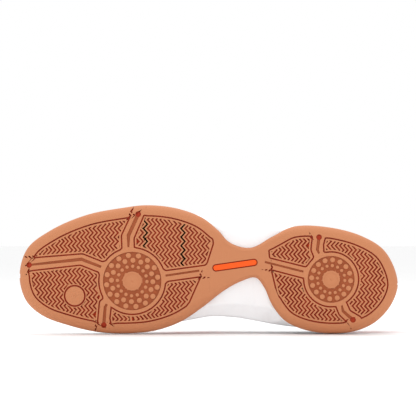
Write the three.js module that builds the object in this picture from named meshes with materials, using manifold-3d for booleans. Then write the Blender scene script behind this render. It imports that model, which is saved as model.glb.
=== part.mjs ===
// A left court shoe for racket sports, standing on its sole: +X toe, +Y outer side, +Z up, in mm.
// Every layer of the upper is cut from one last-shaped surface, so neighbours keep an even gap.
import * as THREE from 'three';
import { LoftGeometry } from 'three/addons/geometries/LoftGeometry.js';
import { mergeVertices } from 'three/addons/utils/BufferGeometryUtils.js';
import Module from 'manifold-3d';

const wasm = await Module();
wasm.setup();

// ---- driving dimensions -------------------------------------------------------------------
const LENGTH = 296;
const GAP = 0.3;
const OUTSOLE_THICK = 4.5;
const RIM_WIDTH = 8;
const RIM_HEIGHT = 8;
const RIM_LIP = 2.2;
const WAIST_RIM_WIDTH = 3;
const WAIST_RIM_HEIGHT = 5;
const TOE_SPRING = 14;
const TOE_SPRING_FROM = 62;
const HEEL_BEVEL = 3;
const HEEL_BEVEL_FROM = -125;
const ARCH_RISE = 2.5;
const ARCH = [-68, 2];
const FLOOR_FORE = 12;
const FLOOR_HEEL = 20;
const CUP_HEIGHT = 7;
const CUP_HEIGHT_HEEL = 10;
const BOARD_THICK = 1.4;
const SOCK_THICK = 4;
const HIGH = 220;

// Layers of the upper, as distances out from the surface that the foot touches.
const LAYER = {
  lining: [0, 1.9],
  stiffener: [1.1, 1.9],
  shell: [2.2, 3.2],
  overlay: [3.5, 4.3],
  sole: 4.8,
};
const LINING_SKIN = 0.8;
const PAD_DEPTH = 4.6;

// Tread features on the underside.
const FORE_PIVOT = { x: 59, y: -9, ring: 25.9, floor: 22.7, disc: 7.3 };
const HEEL_PIVOT = { x: -95.5, y: -7.5, ring: 21.3, floor: 18.2, disc: 6.8 };
const TOE_DISC = { x: 104, y: -20.5, ring: 7.9 };
const TREAD_DEPTH = 1.2;
const GROOVE_WIDTH = 1.2;
const INLAY = { from: [-6, 1.2], to: [-35.6, 5.4], width: 4, depth: 1.6 };

// Lacing.
const EYELET_ROWS = 5;
const EYELET_FROM = 71;
const EYELET_PITCH = 14;
const EYELET_RADIUS = 2.8;
const EYELET_INSET = 6.5;
const LACE_RADIUS = 1.25;

// ---- outlines -----------------------------------------------------------------------------
const OUTSOLE_OUTLINE = [
  [148, -5], [141.8, 16], [123, 30.5], [95, 42.4], [67, 47.9], [48, 50], [25, 47.6], [5, 41],
  [-7.6, 30.5], [-17, 20.8], [-33, 16.8], [-49.6, 25.3], [-66, 33.2], [-91.6, 33.1], [-119.6, 26],
  [-138.3, 13.6], [-148, -10.5], [-142.9, -27.6], [-128.9, -42.2], [-110, -49.2], [-82, -48.8],
  [-61, -41], [-50, -28.2], [-43.5, -14], [-37, -6.5], [-26, -9.2], [-12, -16.8], [5, -30],
  [22, -41.2], [42, -48], [62, -50], [85, -49.2], [109, -44], [130, -36.3], [143, -24.5],
];
// The bottom edge of the last, where the upper turns under the foot.
const FEATHER_OUTLINE = [
  [138.5, -6], [134, 9], [122, 20.5], [95, 32.3], [67, 38], [48, 40], [25, 38], [5, 33.5],
  [-15, 30], [-35, 27.5], [-59, 25.3], [-85, 24.2], [-110, 19.8], [-128, 9], [-137.5, -9.5],
  [-133, -22], [-123, -32.5], [-108, -38.5], [-82, -39.4], [-59, -36], [-38, -32], [-15, -28.8],
  [5, -30], [25, -36], [45, -39.4], [65, -40.4], [90, -38.8], [113, -33.3], [130, -22.5],
];
// The line along the top of the last, from the toe over the instep to the back of the ankle.
const RIDGE = [
  [116, -5, 43], [95, -3, 48], [75, -1, 54], [55, 0, 61.5], [35, 0, 71], [15, -1, 83], [-5, -2, 97],
  [-22, -3, 110], [-45, -4, 120], [-75, -6, 121], [-104, -8, 112],
];
// Half-width of the bare midsole where it stands out past the narrow waist of the outsole.
const WAIST_CREASE = { outer: [[-72, 30], [-58, 31.5], [-13, 31.5], [12, 36]],
  inner: [[-64, 30], [-44, 30.5], [-21, 27.5], [-4, 28.5], [14, 31]] };
const WAIST_TOP = { outer: [[-78, 31.5], [-50, 34.6], [-25, 37.4], [-9, 40], [12, 42]],
  inner: [[-80, 47], [-59, 44.8], [-45, 42.5], [-32, 39.8], [-18, 37.4], [0, 37.4], [14, 40]] };
const COLLAR_LINE = [
  [60, 96], [12, 93], [0, 87], [-18, 79.5], [-38, 74], [-60, 72], [-88, 75], [-112, 84], [-128, 92.5],
  [-160, 97],
];

// ---- small helpers ------------------------------------------------------------------------
const clamp01 = (v) => Math.min(1, Math.max(0, v));
const smooth = (a, b, v) => {
  const u = clamp01((v - a) / (b - a));
  return u * u * (3 - 2 * u);
};
const mix = (a, b, u) => a + (b - a) * u;

function lineAt(points, x) {
  const list = [...points].sort((p, q) => p[0] - q[0]);
  if (x <= list[0][0]) return list[0][1];
  const next = list.findIndex((p) => p[0] >= x);
  if (next < 0) return list.at(-1)[1];
  const [x0, y0] = list[next - 1];
  const [x1, y1] = list[next];
  return mix(y0, y1, (x - x0) / (x1 - x0));
}

function closedRing(points, count) {
  const curve = new THREE.CatmullRomCurve3(points.map(([x, y]) => new THREE.Vector3(x, y, 0)), true);
  return curve.getSpacedPoints(count).slice(0, count);
}

function offsetRing(ring, distance) {
  return ring.map((p, i) => {
    const before = ring.at(i - 1);
    const after = ring[(i + 1) % ring.length];
    const out = new THREE.Vector3(before.y - after.y, after.x - before.x, 0).normalize();
    return p.clone().addScaledVector(out, -distance);
  });
}

// The lowest and highest y of a closed ring at one x.
function spanAt(ring, x) {
  const xs = ring.map((p) => p.x);
  const at = Math.min(Math.max(...xs) - 0.45, Math.max(Math.min(...xs) + 0.45, x));
  const hits = [];
  ring.forEach((p, i) => {
    const q = ring[(i + 1) % ring.length];
    if ((p.x - at) * (q.x - at) > 0 || p.x === q.x) return;
    hits.push(mix(p.y, q.y, (at - p.x) / (q.x - p.x)));
  });
  return [Math.min(...hits), Math.max(...hits)];
}

// ---- solids -------------------------------------------------------------------------------
function toSolid(shape) {
  const geometry = new THREE.BufferGeometry().copy(shape);
  geometry.deleteAttribute('normal');
  geometry.deleteAttribute('uv');
  const merged = mergeVertices(geometry, 1e-4);
  const triangles = [];
  const index = merged.index.array;
  for (let i = 0; i < index.length; i += 3) {
    const [a, b, c] = [index[i], index[i + 1], index[i + 2]];
    if (a !== b && b !== c && c !== a) triangles.push(a, b, c);
  }
  const solid = new wasm.Manifold(new wasm.Mesh({
    numProp: 3,
    vertProperties: merged.attributes.position.array,
    triVerts: new Uint32Array(triangles),
  }));
  if (solid.volume() <= 0) throw new Error('a solid is inside out');
  return solid;
}

function toGeometry(solid) {
  const { vertProperties, triVerts } = solid.getMesh();
  const geometry = new THREE.BufferGeometry();
  geometry.setAttribute('position', new THREE.BufferAttribute(vertProperties, 3));
  geometry.setIndex(new THREE.BufferAttribute(triVerts, 1));
  return geometry;
}

function loft(sections, options) {
  return toSolid(new LoftGeometry(sections, options));
}

// A block standing on the XY plane, from a plan outline.
function planPrism(points, low = -HIGH, high = HIGH) {
  const shape = new THREE.Shape(points.map(([x, y]) => new THREE.Vector2(x, y)));
  const geometry = new THREE.ExtrudeGeometry(shape, { depth: high - low, bevelEnabled: false });
  return toSolid(geometry.translate(0, 0, low));
}

// A block lying along Y, from an outline in side view (x, z).
function sidePrism(points, low = -HIGH, high = HIGH) {
  const shape = new THREE.Shape(points.map(([x, z]) => new THREE.Vector2(x, z)));
  const geometry = new THREE.ExtrudeGeometry(shape, { depth: high - low, bevelEnabled: false });
  return toSolid(geometry.rotateX(Math.PI / 2).translate(0, high, 0));
}

function cylinder(x, y, radius, low, high, sides = 32) {
  const geometry = new THREE.CylinderGeometry(radius, radius, high - low, sides);
  return toSolid(geometry.rotateX(Math.PI / 2).translate(x, y, (low + high) / 2));
}

// A straight slot with round ends, standing on the XY plane.
function slot([x0, y0], [x1, y1], width, low, high) {
  const angle = Math.atan2(y1 - y0, x1 - x0);
  const shape = new THREE.Shape();
  shape.absarc(x1, y1, width / 2, angle - Math.PI / 2, angle + Math.PI / 2, false);
  shape.absarc(x0, y0, width / 2, angle + Math.PI / 2, angle + 1.5 * Math.PI, false);
  const options = { depth: high - low, bevelEnabled: false, curveSegments: 4 };
  return toSolid(new THREE.ExtrudeGeometry(shape, options).translate(0, 0, low));
}

// ---- heights along the shoe ---------------------------------------------------------------
const STATION_COUNT = 38;
const STATIONS = Array.from({ length: STATION_COUNT - 1 }, (_, i) => {
  return -LENGTH / 2 * Math.cos(Math.PI * (i + 1) / STATION_COUNT);
});

// Straight between stations, so that stacked soles meet with an even gap.
function alongStations(height) {
  const table = [-LENGTH / 2, ...STATIONS, LENGTH / 2].map((x) => [x, height(x)]);
  return (x) => lineAt(table, x);
}

const groundLift = alongStations((x) => {
  const toe = TOE_SPRING * Math.max(0, (x - TOE_SPRING_FROM) / (LENGTH / 2 - TOE_SPRING_FROM)) ** 2;
  const heel = HEEL_BEVEL * Math.max(0, (HEEL_BEVEL_FROM - x) / (LENGTH / 2 + HEEL_BEVEL_FROM)) ** 2;
  const arch = ARCH_RISE * Math.sin(Math.PI * clamp01((x - ARCH[0]) / (ARCH[1] - ARCH[0]))) ** 2;
  return toe + heel + arch;
});
const floorHeight = alongStations((x) => {
  const toe = 0.9 * TOE_SPRING * Math.max(0, (x - TOE_SPRING_FROM) / (LENGTH / 2 - TOE_SPRING_FROM)) ** 2;
  return mix(FLOOR_HEEL, FLOOR_FORE, smooth(-75, 35, x)) + toe;
});
const cupTop = alongStations((x) => {
  return floorHeight(x) + mix(CUP_HEIGHT_HEEL, CUP_HEIGHT, smooth(-110, -20, x));
});
// 1 where the outsole wraps up the side, 0 at the waist.
const wrap = (x) => 1 - smooth(-72, -50, x) * (1 - smooth(-14, 8, x));

// Sections across the shoe at the stations inside a ring, from heel to toe.
function stationLoft(ring, sectionAt) {
  const xs = ring.map((p) => p.x);
  const low = Math.min(...xs);
  const high = Math.max(...xs);
  const inside = STATIONS.filter((x) => x > low + 0.6 && x < high - 0.6);
  const sections = [low, ...inside, high].map((x) => {
    const [inner, outer] = spanAt(ring, x);
    return sectionAt(x, inner, outer).map(([y, z]) => new THREE.Vector3(x, y, z)).reverse();
  });
  return loft(sections, { capStart: true, capEnd: true });
}

function slab(ring, bottom, top) {
  return stationLoft(ring, (x, inner, outer) => [
    [inner, bottom(x)], [inner, top(x)], [outer, top(x)], [outer, bottom(x)],
  ]);
}

// ---- the sole unit ------------------------------------------------------------------------
const outsoleRing = closedRing(OUTSOLE_OUTLINE, 360);
const featherRing = closedRing(FEATHER_OUTLINE, 360);

function rimAt(x, inner, outer) {
  const blend = wrap(x);
  const width = Math.min(mix(WAIST_RIM_WIDTH, RIM_WIDTH, blend), 0.42 * (outer - inner));
  const height = mix(WAIST_RIM_HEIGHT, RIM_HEIGHT, blend);
  return { width, height, lip: Math.min(mix(1.2, RIM_LIP, blend), 0.5 * width) };
}

function outsoleSection(x, inner, outer) {
  const { width, height, lip } = rimAt(x, inner, outer);
  const ground = groundLift(x);
  const curve = [0, 30, 60, 90].map((degrees) => {
    const angle = THREE.MathUtils.degToRad(degrees);
    return [width * (1 - Math.cos(angle)), height * (1 - Math.sin(angle))];
  });
  const innerEdge = curve.map(([across, up]) => [inner + across, ground + up]);
  const outerEdge = curve.map(([across, up]) => [outer - across, ground + up]);
  const bed = ground + OUTSOLE_THICK;
  return [
    ...innerEdge.reverse(), [inner + lip, ground + height], [inner + width, bed],
    [outer - width, bed], [outer - lip, ground + height], ...outerEdge,
  ];
}

function pivotCuts({ x, y, ring, floor, disc }) {
  const ringGroove = cylinder(x, y, ring + GROOVE_WIDTH / 2, -1, TREAD_DEPTH, 28)
    .subtract(cylinder(x, y, ring - GROOVE_WIDTH / 2, -2, HIGH, 28));
  const recess = cylinder(x, y, floor, -1, TREAD_DEPTH, 28)
    .subtract(cylinder(x, y, disc, -2, HIGH, 16));
  return ringGroove.add(recess);
}

function makeOutsole() {
  const channels = [
    [[139, 3.5], [98.5, 8]], [[98.5, 8], [81.5, 1]], [[54.5, 42], [62, 26]], [[62, 26], [62, 14]],
    [[81.5, -43], [80, -29]], [[32, -4.5], [8, -1.2]], [[-46, 5.5], [-75, -2]],
    [[-86, 24], [-85, 13]], [[-112, -38.5], [-104.5, -31]],
  ];
  let solid = stationLoft(outsoleRing, outsoleSection);
  for (const pivot of [FORE_PIVOT, HEEL_PIVOT]) solid = solid.subtract(pivotCuts(pivot));
  for (const [from, to] of channels) {
    const ground = Math.max(groundLift(from[0]), groundLift(to[0]));
    solid = solid.subtract(slot(from, to, GROOVE_WIDTH, -1, ground + TREAD_DEPTH));
  }
  const { x, y, ring } = TOE_DISC;
  const toeGroove = cylinder(x, y, ring + 0.6, -1, groundLift(x) + 1.6, 24)
    .subtract(cylinder(x, y, ring - 0.6, -2, HIGH, 16));
  const pocket = slot(INLAY.from, INLAY.to, INLAY.width + 2 * GAP, -1, inlayBase() + GAP);
  return solid.subtract(toeGroove).subtract(pocket);
}

function inlayBase() {
  return groundLift(INLAY.from[0]) + INLAY.depth + 1;
}

function makeInlay() {
  const block = slot(INLAY.from, INLAY.to, INLAY.width, -1, inlayBase());
  return block.intersect(slab(outsoleRing, (x) => groundLift(x) + 0.4, () => HIGH));
}

function midsoleSection(x, inner, outer) {
  const { width, height, lip } = rimAt(x, inner, outer);
  const ground = groundLift(x) + GAP;
  const top = cupTop(x);
  const half = (side) => {
    const edge = side < 0 ? -inner : outer;
    const key = side < 0 ? 'inner' : 'outer';
    const atWaist = x > -80 && x < 14;
    const crease = atWaist ? Math.max(edge - 0.6, lineAt(WAIST_CREASE[key], x)) : edge - 0.6;
    const brim = atWaist ? Math.max(edge - 0.5, lineAt(WAIST_TOP[key], x)) : edge - 0.5;
    const step = 0.12 * Math.max(0, crease - edge);
    const low = ground + height;
    return [
      [side * (edge - width - GAP), ground + OUTSOLE_THICK], [side * (edge - lip - GAP), low],
      [side * (crease - 0.4), low + step], [side * crease, low + step + 1],
      [side * (brim - 0.8), Math.max(low + step + 2, floorHeight(x) - 0.5)], [side * brim, top - 1],
      [side * (brim - 1), top],
    ];
  };
  return [...half(-1), ...half(1).reverse()];
}

// ---- the last surface ---------------------------------------------------------------------
const AROUND = 38;
const UPWARDS = 7;
const ridgeCurve = new THREE.CatmullRomCurve3(RIDGE.map((p) => new THREE.Vector3(...p)));
const feather = closedRing(FEATHER_OUTLINE, 2 * AROUND * 8);

// The ridge point above a place on the feather line: both sides of the shoe share it.
function ridgeAt(x) {
  const ends = [RIDGE[0][0], RIDGE.at(-1)[0]];
  const target = mix(ends[1], ends[0], (x + LENGTH / 2 - 10) / (LENGTH - 20));
  let [low, high] = [0, 1];
  for (let i = 0; i < 30; i += 1) {
    const middle = (low + high) / 2;
    if (ridgeCurve.getPoint(middle).x > target) low = middle;
    else high = middle;
  }
  return ridgeCurve.getPoint(low);
}

// Meridians in pairs: number k and number AROUND - k start at the same x and share a ridge point.
const meridians = (() => {
  const xs = feather.map((p) => p.x);
  const [low, high] = [Math.min(...xs) + 0.02, Math.max(...xs) - 0.02];
  return Array.from({ length: AROUND }, (_, k) => {
    const x = (low + high) / 2 + (high - low) / 2 * Math.cos(2 * Math.PI * k / AROUND);
    const hits = [];
    feather.forEach((p, i) => {
      const q = feather[(i + 1) % feather.length];
      if ((p.x - x) * (q.x - x) <= 0 && p.x !== q.x) hits.push(mix(p.y, q.y, (x - p.x) / (q.x - p.x)));
    });
    const y = 2 * k < AROUND ? Math.max(...hits) : Math.min(...hits);
    const foot = new THREE.Vector3(x, y, floorHeight(x) + GAP);
    const ridge = ridgeAt(x);
    const away = foot.clone().sub(ridge).setZ(0);
    const reach = away.length();
    away.normalize();
    const hold = mix(0.92, 0.6, smooth(-60, 30, x));
    return new THREE.CubicBezierCurve3(
      foot,
      foot.clone().addScaledVector(away, 4).add(new THREE.Vector3(0, 0, 0.5 * (ridge.z - foot.z))),
      ridge.clone().addScaledVector(away, hold * reach),
      ridge,
    );
  });
})();

const surface = meridians.map((curve) => curve.getPoints(UPWARDS));
const normals = surface.map((column, k) => column.map((point, j) => {
  const along = surface[(k + 1) % AROUND][j].clone().sub(surface.at(k - 1)[j]);
  const up = column[Math.min(j + 1, UPWARDS)].clone().sub(column[Math.max(j - 1, 0)]);
  if (j < UPWARDS) return along.cross(up).normalize();
  const x = surface[k][0].x;
  const tangent = ridgeAt(x + 6).sub(ridgeAt(x - 6));
  return new THREE.Vector3(-tangent.z, 0, tangent.x).normalize();
}));

// 0 away from the padded collar, 1 where it is fullest.
function padFullness(point) {
  const below = lineAt(COLLAR_LINE, point.x) - point.z;
  return smooth(30, 16, below) * smooth(-8, -34, point.x);
}

// The solid inside the last surface moved out by an even distance, less a further local amount.
function dome(distance, local = () => 0) {
  const ringAt = (j) => surface.map((column, k) => {
    return column[j].clone().addScaledVector(normals[k][j], distance - local(column[j]));
  });
  const foot = ringAt(0);
  const shell = Array.from({ length: UPWARDS + 1 }, (_, j) => ringAt(j));
  const rings = [foot.map((p) => p.clone().setZ(-20)), ...shell];
  return loft(rings, { capStart: true });
}

const padded = (point) => PAD_DEPTH * padFullness(point);
const WIDE_RING = [[-160, -90], [160, -90], [160, 90], [-160, 90]].map(([x, y]) => new THREE.Vector3(x, y, 0));
const wideSlab = (bottom, top) => slab(WIDE_RING, bottom, top);
const aboveFloor = wideSlab((x) => floorHeight(x) + GAP, () => HIGH);

function layer([from, to], local) {
  return dome(to).subtract(dome(from, local)).intersect(aboveFloor);
}

// ---- cut shapes of the upper --------------------------------------------------------------
const throatHalf = (x) => mix(15, 20, clamp01((78 - x) / 70));
const ridgeY = (x) => lineAt(RIDGE.map(([px, py]) => [px, py]), x);
const throatBand = (grow, from, to) => {
  const xs = Array.from({ length: 12 }, (_, i) => mix(from, to, i / 11));
  const outer = xs.map((x) => [x, ridgeY(x) + throatHalf(x) + grow]);
  const inner = xs.map((x) => [x, ridgeY(x) - throatHalf(x) - grow]).reverse();
  return [...outer, ...inner];
};
const throatEnd = (grow) => cylinder(78, ridgeY(78), throatHalf(78) + grow, -HIGH, HIGH, 24);
const throat = (grow) => planPrism(throatBand(grow, 78, -60)).add(throatEnd(grow));
const aboveCollar = (drop, to = 16) => sidePrism([
  ...COLLAR_LINE.filter(([x]) => x < to).map(([x, z]) => [x, z - drop]), [-160, HIGH], [to, HIGH],
  [to, lineAt(COLLAR_LINE, to) - drop],
]);
const opening = throat(0).intersect(sidePrism([[100, 30], [100, HIGH], [-60, HIGH], [-60, 60], [20, 30]]))
  .add(aboveCollar(0));
const outerHalf = planPrism([[-170, -8], [-120, -8], [-20, -2], [170, -2], [170, 120], [-170, 120]]);
const innerHalf = planPrism([
  [-170, -8.4], [-170, -120], [170, -120], [170, -2.4], [-20, -2.4], [-120, -8.4],
]);
const vampLine = (shift) => sidePrism([
  [34 + shift, -50], [72 + shift, 70], [90 + shift, HIGH], [200, HIGH], [200, -50],
]);
const toePuffSide = sidePrism([[112, -30], [104, 90], [200, 90], [200, -30]]);
const counterLine = (shift) => [[-82 + shift, -30], [-88 + shift, 34], [-112 + shift, 46 + shift], [-170, 50 + shift]];
const counterSide = (shift) => sidePrism([...counterLine(shift), [-170, -30]]);
const padSide = (grow) => aboveCollar(29 + grow, -14 + grow);

// ---- pieces of the upper ------------------------------------------------------------------
function eyeletPlaces(side) {
  return Array.from({ length: EYELET_ROWS }, (_, row) => {
    const x = EYELET_FROM - row * EYELET_PITCH;
    const y = ridgeY(x) + side * (throatHalf(x) + EYELET_INSET);
    return placeOnLast(x, y);
  });
}

// The point and outward normal of the last surface seen from above at (x, y).
function placeOnLast(x, y) {
  const target = new THREE.Vector2(x, y);
  let best = { distance: Infinity };
  surface.forEach((column, k) => {
    for (let j = 3; j < UPWARDS; j += 1) {
      const corners = [[k, j], [(k + 1) % AROUND, j], [k, j + 1], [(k + 1) % AROUND, j + 1]];
      const weights = corners.map(([a, b]) => {
        const p = surface[a][b];
        return 1 / (0.01 + target.distanceToSquared(new THREE.Vector2(p.x, p.y)));
      });
      const total = weights.reduce((sum, w) => sum + w, 0);
      const distance = 1 / total;
      if (distance < best.distance) best = { distance, k, j };
    }
  });
  return solveOnPatch(best.k, best.j, target);
}

// Walks over neighbouring cells until the bilinear cell holds the target, then reads it there.
function solveOnPatch(k, j, target) {
  let u = k;
  let v = j;
  const read = (grid, a, b) => {
    const k0 = Math.floor(a);
    const j0 = Math.min(UPWARDS - 1, Math.max(0, Math.floor(b)));
    const at = (i, n) => grid[((i % AROUND) + AROUND) % AROUND][n];
    const low = at(k0, j0).clone().lerp(at(k0 + 1, j0), a - k0);
    const high = at(k0, j0 + 1).clone().lerp(at(k0 + 1, j0 + 1), a - k0);
    return low.lerp(high, b - j0);
  };
  for (let i = 0; i < 40; i += 1) {
    const here = read(surface, u, v);
    const du = read(surface, u + 0.2, v).sub(here).multiplyScalar(5);
    const dv = read(surface, u, v + 0.2).sub(here).multiplyScalar(5);
    const det = du.x * dv.y - du.y * dv.x;
    const [ex, ey] = [target.x - here.x, target.y - here.y];
    u += 0.7 * (ex * dv.y - ey * dv.x) / det;
    v = Math.min(UPWARDS - 0.3, v + 0.7 * (du.x * ey - du.y * ex) / det);
  }
  return { point: read(surface, u, v), normal: read(normals, u, v).normalize() };
}

function eyeletDrills(side) {
  return eyeletPlaces(side).map(({ point, normal }) => {
    const geometry = new THREE.CylinderGeometry(EYELET_RADIUS, EYELET_RADIUS, 24, 8);
    const turn = new THREE.Quaternion().setFromUnitVectors(new THREE.Vector3(0, 1, 0), normal);
    return toSolid(geometry.applyQuaternion(turn).translate(...point.toArray()));
  });
}

const drills = [...eyeletDrills(1), ...eyeletDrills(-1)].reduce((all, drill) => all.add(drill));
const liningLayer = layer(LAYER.lining, padded).subtract(opening).subtract(drills);
const shellLayer = layer(LAYER.shell).subtract(opening).subtract(drills);
const overlayLayer = layer(LAYER.overlay).subtract(opening).subtract(drills);

function makeLining() {
  const hollow = dome(LAYER.lining[1] + 1).subtract(dome(LINING_SKIN, padded));
  const pockets = padSide(GAP).add(counterSide(GAP)).add(toePuffSide);
  return liningLayer.subtract(hollow.intersect(pockets));
}

function makeStiffener(region) {
  return layer(LAYER.stiffener).subtract(opening).intersect(region);
}

function makeCollarPadding() {
  const body = dome(LAYER.lining[1]).subtract(dome(LINING_SKIN + GAP, padded));
  return body.intersect(padSide(0)).subtract(aboveCollar(1.5, 40)).subtract(throat(8));
}

const bandLine = (grow) => [
  [-104, 39 + grow], [-60, 34 + grow], [-10, 27.5 + grow], [30, 26 + grow], [66, 25.5 + grow],
];
const bandSide = (grow) => sidePrism([[-104 - grow, -30], ...bandLine(grow), [66 + grow, -30]]);
const toeCapSide = sidePrism([
  [66.5, -30], [66.5, 25.5], [84, 28], [104, 34], [119, 44], [126, 90], [200, 90], [200, -30],
]);
const heelSide = sidePrism([
  [-104.5, -30], [-104.5, 42], [-112, 54], [-122, 66], [-128, 80], [-170, 80], [-170, -30],
]);
const eyestayPlan = planPrism(throatBand(13, 80, 6)).add(throatEnd(13));
const saddleSide = sidePrism([[-14, 20], [-9, 60], [12, 110], [40, 110], [37, 60], [40, 20]]);

function makeOverlays() {
  const rear = overlayLayer.subtract(toeCapSide).subtract(heelSide);
  const eyestay = rear.intersect(eyestayPlan).subtract(bandSide(0.5));
  const eyestayGrown = planPrism(throatBand(13.4, 81, 5.6)).add(throatEnd(13.4));
  const saddle = rear.intersect(saddleSide).subtract(bandSide(0.4)).subtract(eyestayGrown);
  const seam = planPrism([[-200, -7], [200, -7], [200, -6.6], [-200, -6.6]]);
  const band = rear.intersect(bandSide(0)).subtract(seam);
  const split = (solid) => ({ outer: solid.intersect(outerHalf), inner: solid.intersect(innerHalf) });
  return {
    toe_cap: overlayLayer.intersect(toeCapSide),
    heel_overlay: overlayLayer.intersect(heelSide),
    eyestay: split(eyestay),
    saddle: split(saddle),
    base_band: split(band),
  };
}

// ---- tongue, gussets and lace -------------------------------------------------------------
const TONGUE = { face: [-1.6, -0.6], foam: [-5.6, -1.9], lining: [-6.7, -5.9] };
const TONGUE_HALF = 13.4;
const TONGUE_ENDS = [74, -17];
const GUSSET = [-6.6, -5.8];
const crown = (point) => 4 * clamp01(Math.abs(point.y - ridgeY(point.x)) / TONGUE_HALF) ** 2;

function tongueBand(half, ends) {
  const xs = Array.from({ length: 8 }, (_, i) => mix(ends[0], ends[1], i / 7));
  const outer = xs.map((x) => [x, ridgeY(x) + half]);
  const inner = xs.map((x) => [x, ridgeY(x) - half]).reverse();
  return planPrism([...outer, ...inner], 40, HIGH);
}

function makeTongueLayer([from, to], half = TONGUE_HALF, ends = TONGUE_ENDS) {
  return dome(to, crown).subtract(dome(from, crown)).intersect(tongueBand(half, ends));
}

function makeGusset(side) {
  const band = tongueBand(TONGUE_HALF + 13, [66, 12]).subtract(tongueBand(TONGUE_HALF + 0.8, [90, -20]));
  const half = side > 0 ? outerHalf : innerHalf;
  return dome(GUSSET[1]).subtract(dome(GUSSET[0])).intersect(band).intersect(half);
}

// A point above the last surface, given from above and by its distance out.
function lifted(x, y, out) {
  const { point, normal } = placeOnLast(x, y);
  return point.addScaledVector(normal, out);
}

// One strand, criss-crossing up the throat from the middle of the lowest row.
function strandRoute(firstSide) {
  const over = firstSide > 0 ? 5.2 : 1.8;
  const xOf = (row) => EYELET_FROM - row * EYELET_PITCH;
  const at = (x, side, across, out) => lifted(x, ridgeY(x) + side * across, out);
  const edge = (row) => throatHalf(xOf(row));
  const route = [at(xOf(0), firstSide, 4, 1), at(xOf(0), firstSide, edge(0) - 4, -1)];
  let side = firstSide;
  for (let row = 0; row < EYELET_ROWS; row += 1) {
    const x = xOf(row);
    const hole = edge(row) + EYELET_INSET;
    route.push(at(x, side, edge(row) + 1.5, -2.6), at(x, side, hole - 1.2, -2.2));
    route.push(at(x, side, hole, 1), at(x, side, hole, 4));
    if (row === EYELET_ROWS - 1) break;
    route.push(at(x - 0.8, side, hole - 2, 6.4), at(x - 2.6, side, edge(row) - 1.6, 6.4));
    route.push(at(x - EYELET_PITCH / 2 + 1.5, side, 4, over), at(x - EYELET_PITCH / 2 - 1.5, -side, 4, over));
    route.push(at(x - EYELET_PITCH + 2, -side, edge(row + 1) - 5, -0.8));
    side = -side;
  }
  return [...route, ...tuckedEnd(side)];
}

// From the highest eyelet over the throat's edge, and down inside it beside the tongue.
function tuckedEnd(side) {
  const x = EYELET_FROM - (EYELET_ROWS - 1) * EYELET_PITCH;
  const edge = throatHalf(x);
  const at = (back, past, out) => lifted(x - back, ridgeY(x) + side * (edge + past), out);
  return [
    at(0.8, EYELET_INSET - 2, 6.4), at(4, 0.5, 6.7), at(8.6, -4.2, 5), at(9.6, -3.4, 1), at(10, -1, -3),
    at(11, 4.5, -6.6), at(18, 9, -7),
  ];
}

// A round cord along hand-set points, with a section at each point and midway between points.
function cordLoft(points, radius, sides) {
  const curve = new THREE.CatmullRomCurve3(points);
  const steps = 2 * (points.length - 1);
  const centres = curve.getPoints(steps);
  let across = new THREE.Vector3(1, 0, 0);
  const sections = centres.map((centre, i) => {
    const tangent = centres[Math.min(i + 1, steps)].clone().sub(centres[Math.max(i - 1, 0)]).normalize();
    across = across.clone().addScaledVector(tangent, -across.dot(tangent)).normalize();
    const second = tangent.clone().cross(across);
    return Array.from({ length: sides }, (_, n) => {
      const angle = 2 * Math.PI * n / sides;
      return centre.clone().addScaledVector(across, radius * Math.cos(angle))
        .addScaledVector(second, radius * Math.sin(angle));
    });
  });
  return loft(sections, { capStart: true, capEnd: true });
}

function makeAglet(tip, before) {
  const direction = tip.clone().sub(before).normalize();
  const geometry = new THREE.CylinderGeometry(LACE_RADIUS + 0.2, LACE_RADIUS + 0.2, 14, 10);
  const turn = new THREE.Quaternion().setFromUnitVectors(new THREE.Vector3(0, 1, 0), direction);
  const centre = tip.clone().addScaledVector(direction, 7 + GAP);
  return toSolid(geometry.applyQuaternion(turn).translate(...centre.toArray()));
}

// ---- heel loop ----------------------------------------------------------------------------
function makeHeelLoop() {
  const back = AROUND / 2;
  const at = (z, out) => {
    const column = surface[back];
    const j = Math.max(1, column.findIndex((p) => p.z > z));
    const u = (z - column[j - 1].z) / (column[j].z - column[j - 1].z);
    const point = column[j - 1].clone().lerp(column[j], u);
    return [point.x - out, z];
  };
  const rise = [at(66, 6), at(80, 6), at(92, 6.6), at(102, 6.4), at(108, 1), at(103, -5), at(91, -7.5)];
  const curve = new THREE.CatmullRomCurve3(rise.map(([x, z]) => new THREE.Vector3(x, 0, z)));
  const line = curve.getPoints(18);
  const edge = (shift) => line.map((p, i) => {
    const tangent = line[Math.min(i + 1, 18)].clone().sub(line[Math.max(i - 1, 0)]).normalize();
    return [p.x - tangent.z * shift, p.z + tangent.x * shift];
  });
  const y = surface[back][0].y;
  return sidePrism([...edge(0.7), ...edge(-0.7).reverse()], y - 7, y + 7);
}

// ---- the shoe -----------------------------------------------------------------------------
const shoe = new THREE.Group();

function add(name, solid, color, roughness) {
  const material = new THREE.MeshStandardMaterial({ color, roughness, metalness: 0 });
  const mesh = new THREE.Mesh(toGeometry(solid), material);
  mesh.name = name;
  shoe.add(mesh);
}

const GUM = 0xc6774c;
const ORANGE = 0xff5f05;
const WHITE = 0xf6f6f8;
const RED = 0xb0260c;
const FOAM = 0xe8dfc8;
const CLOTH = 0xdedede;

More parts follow.
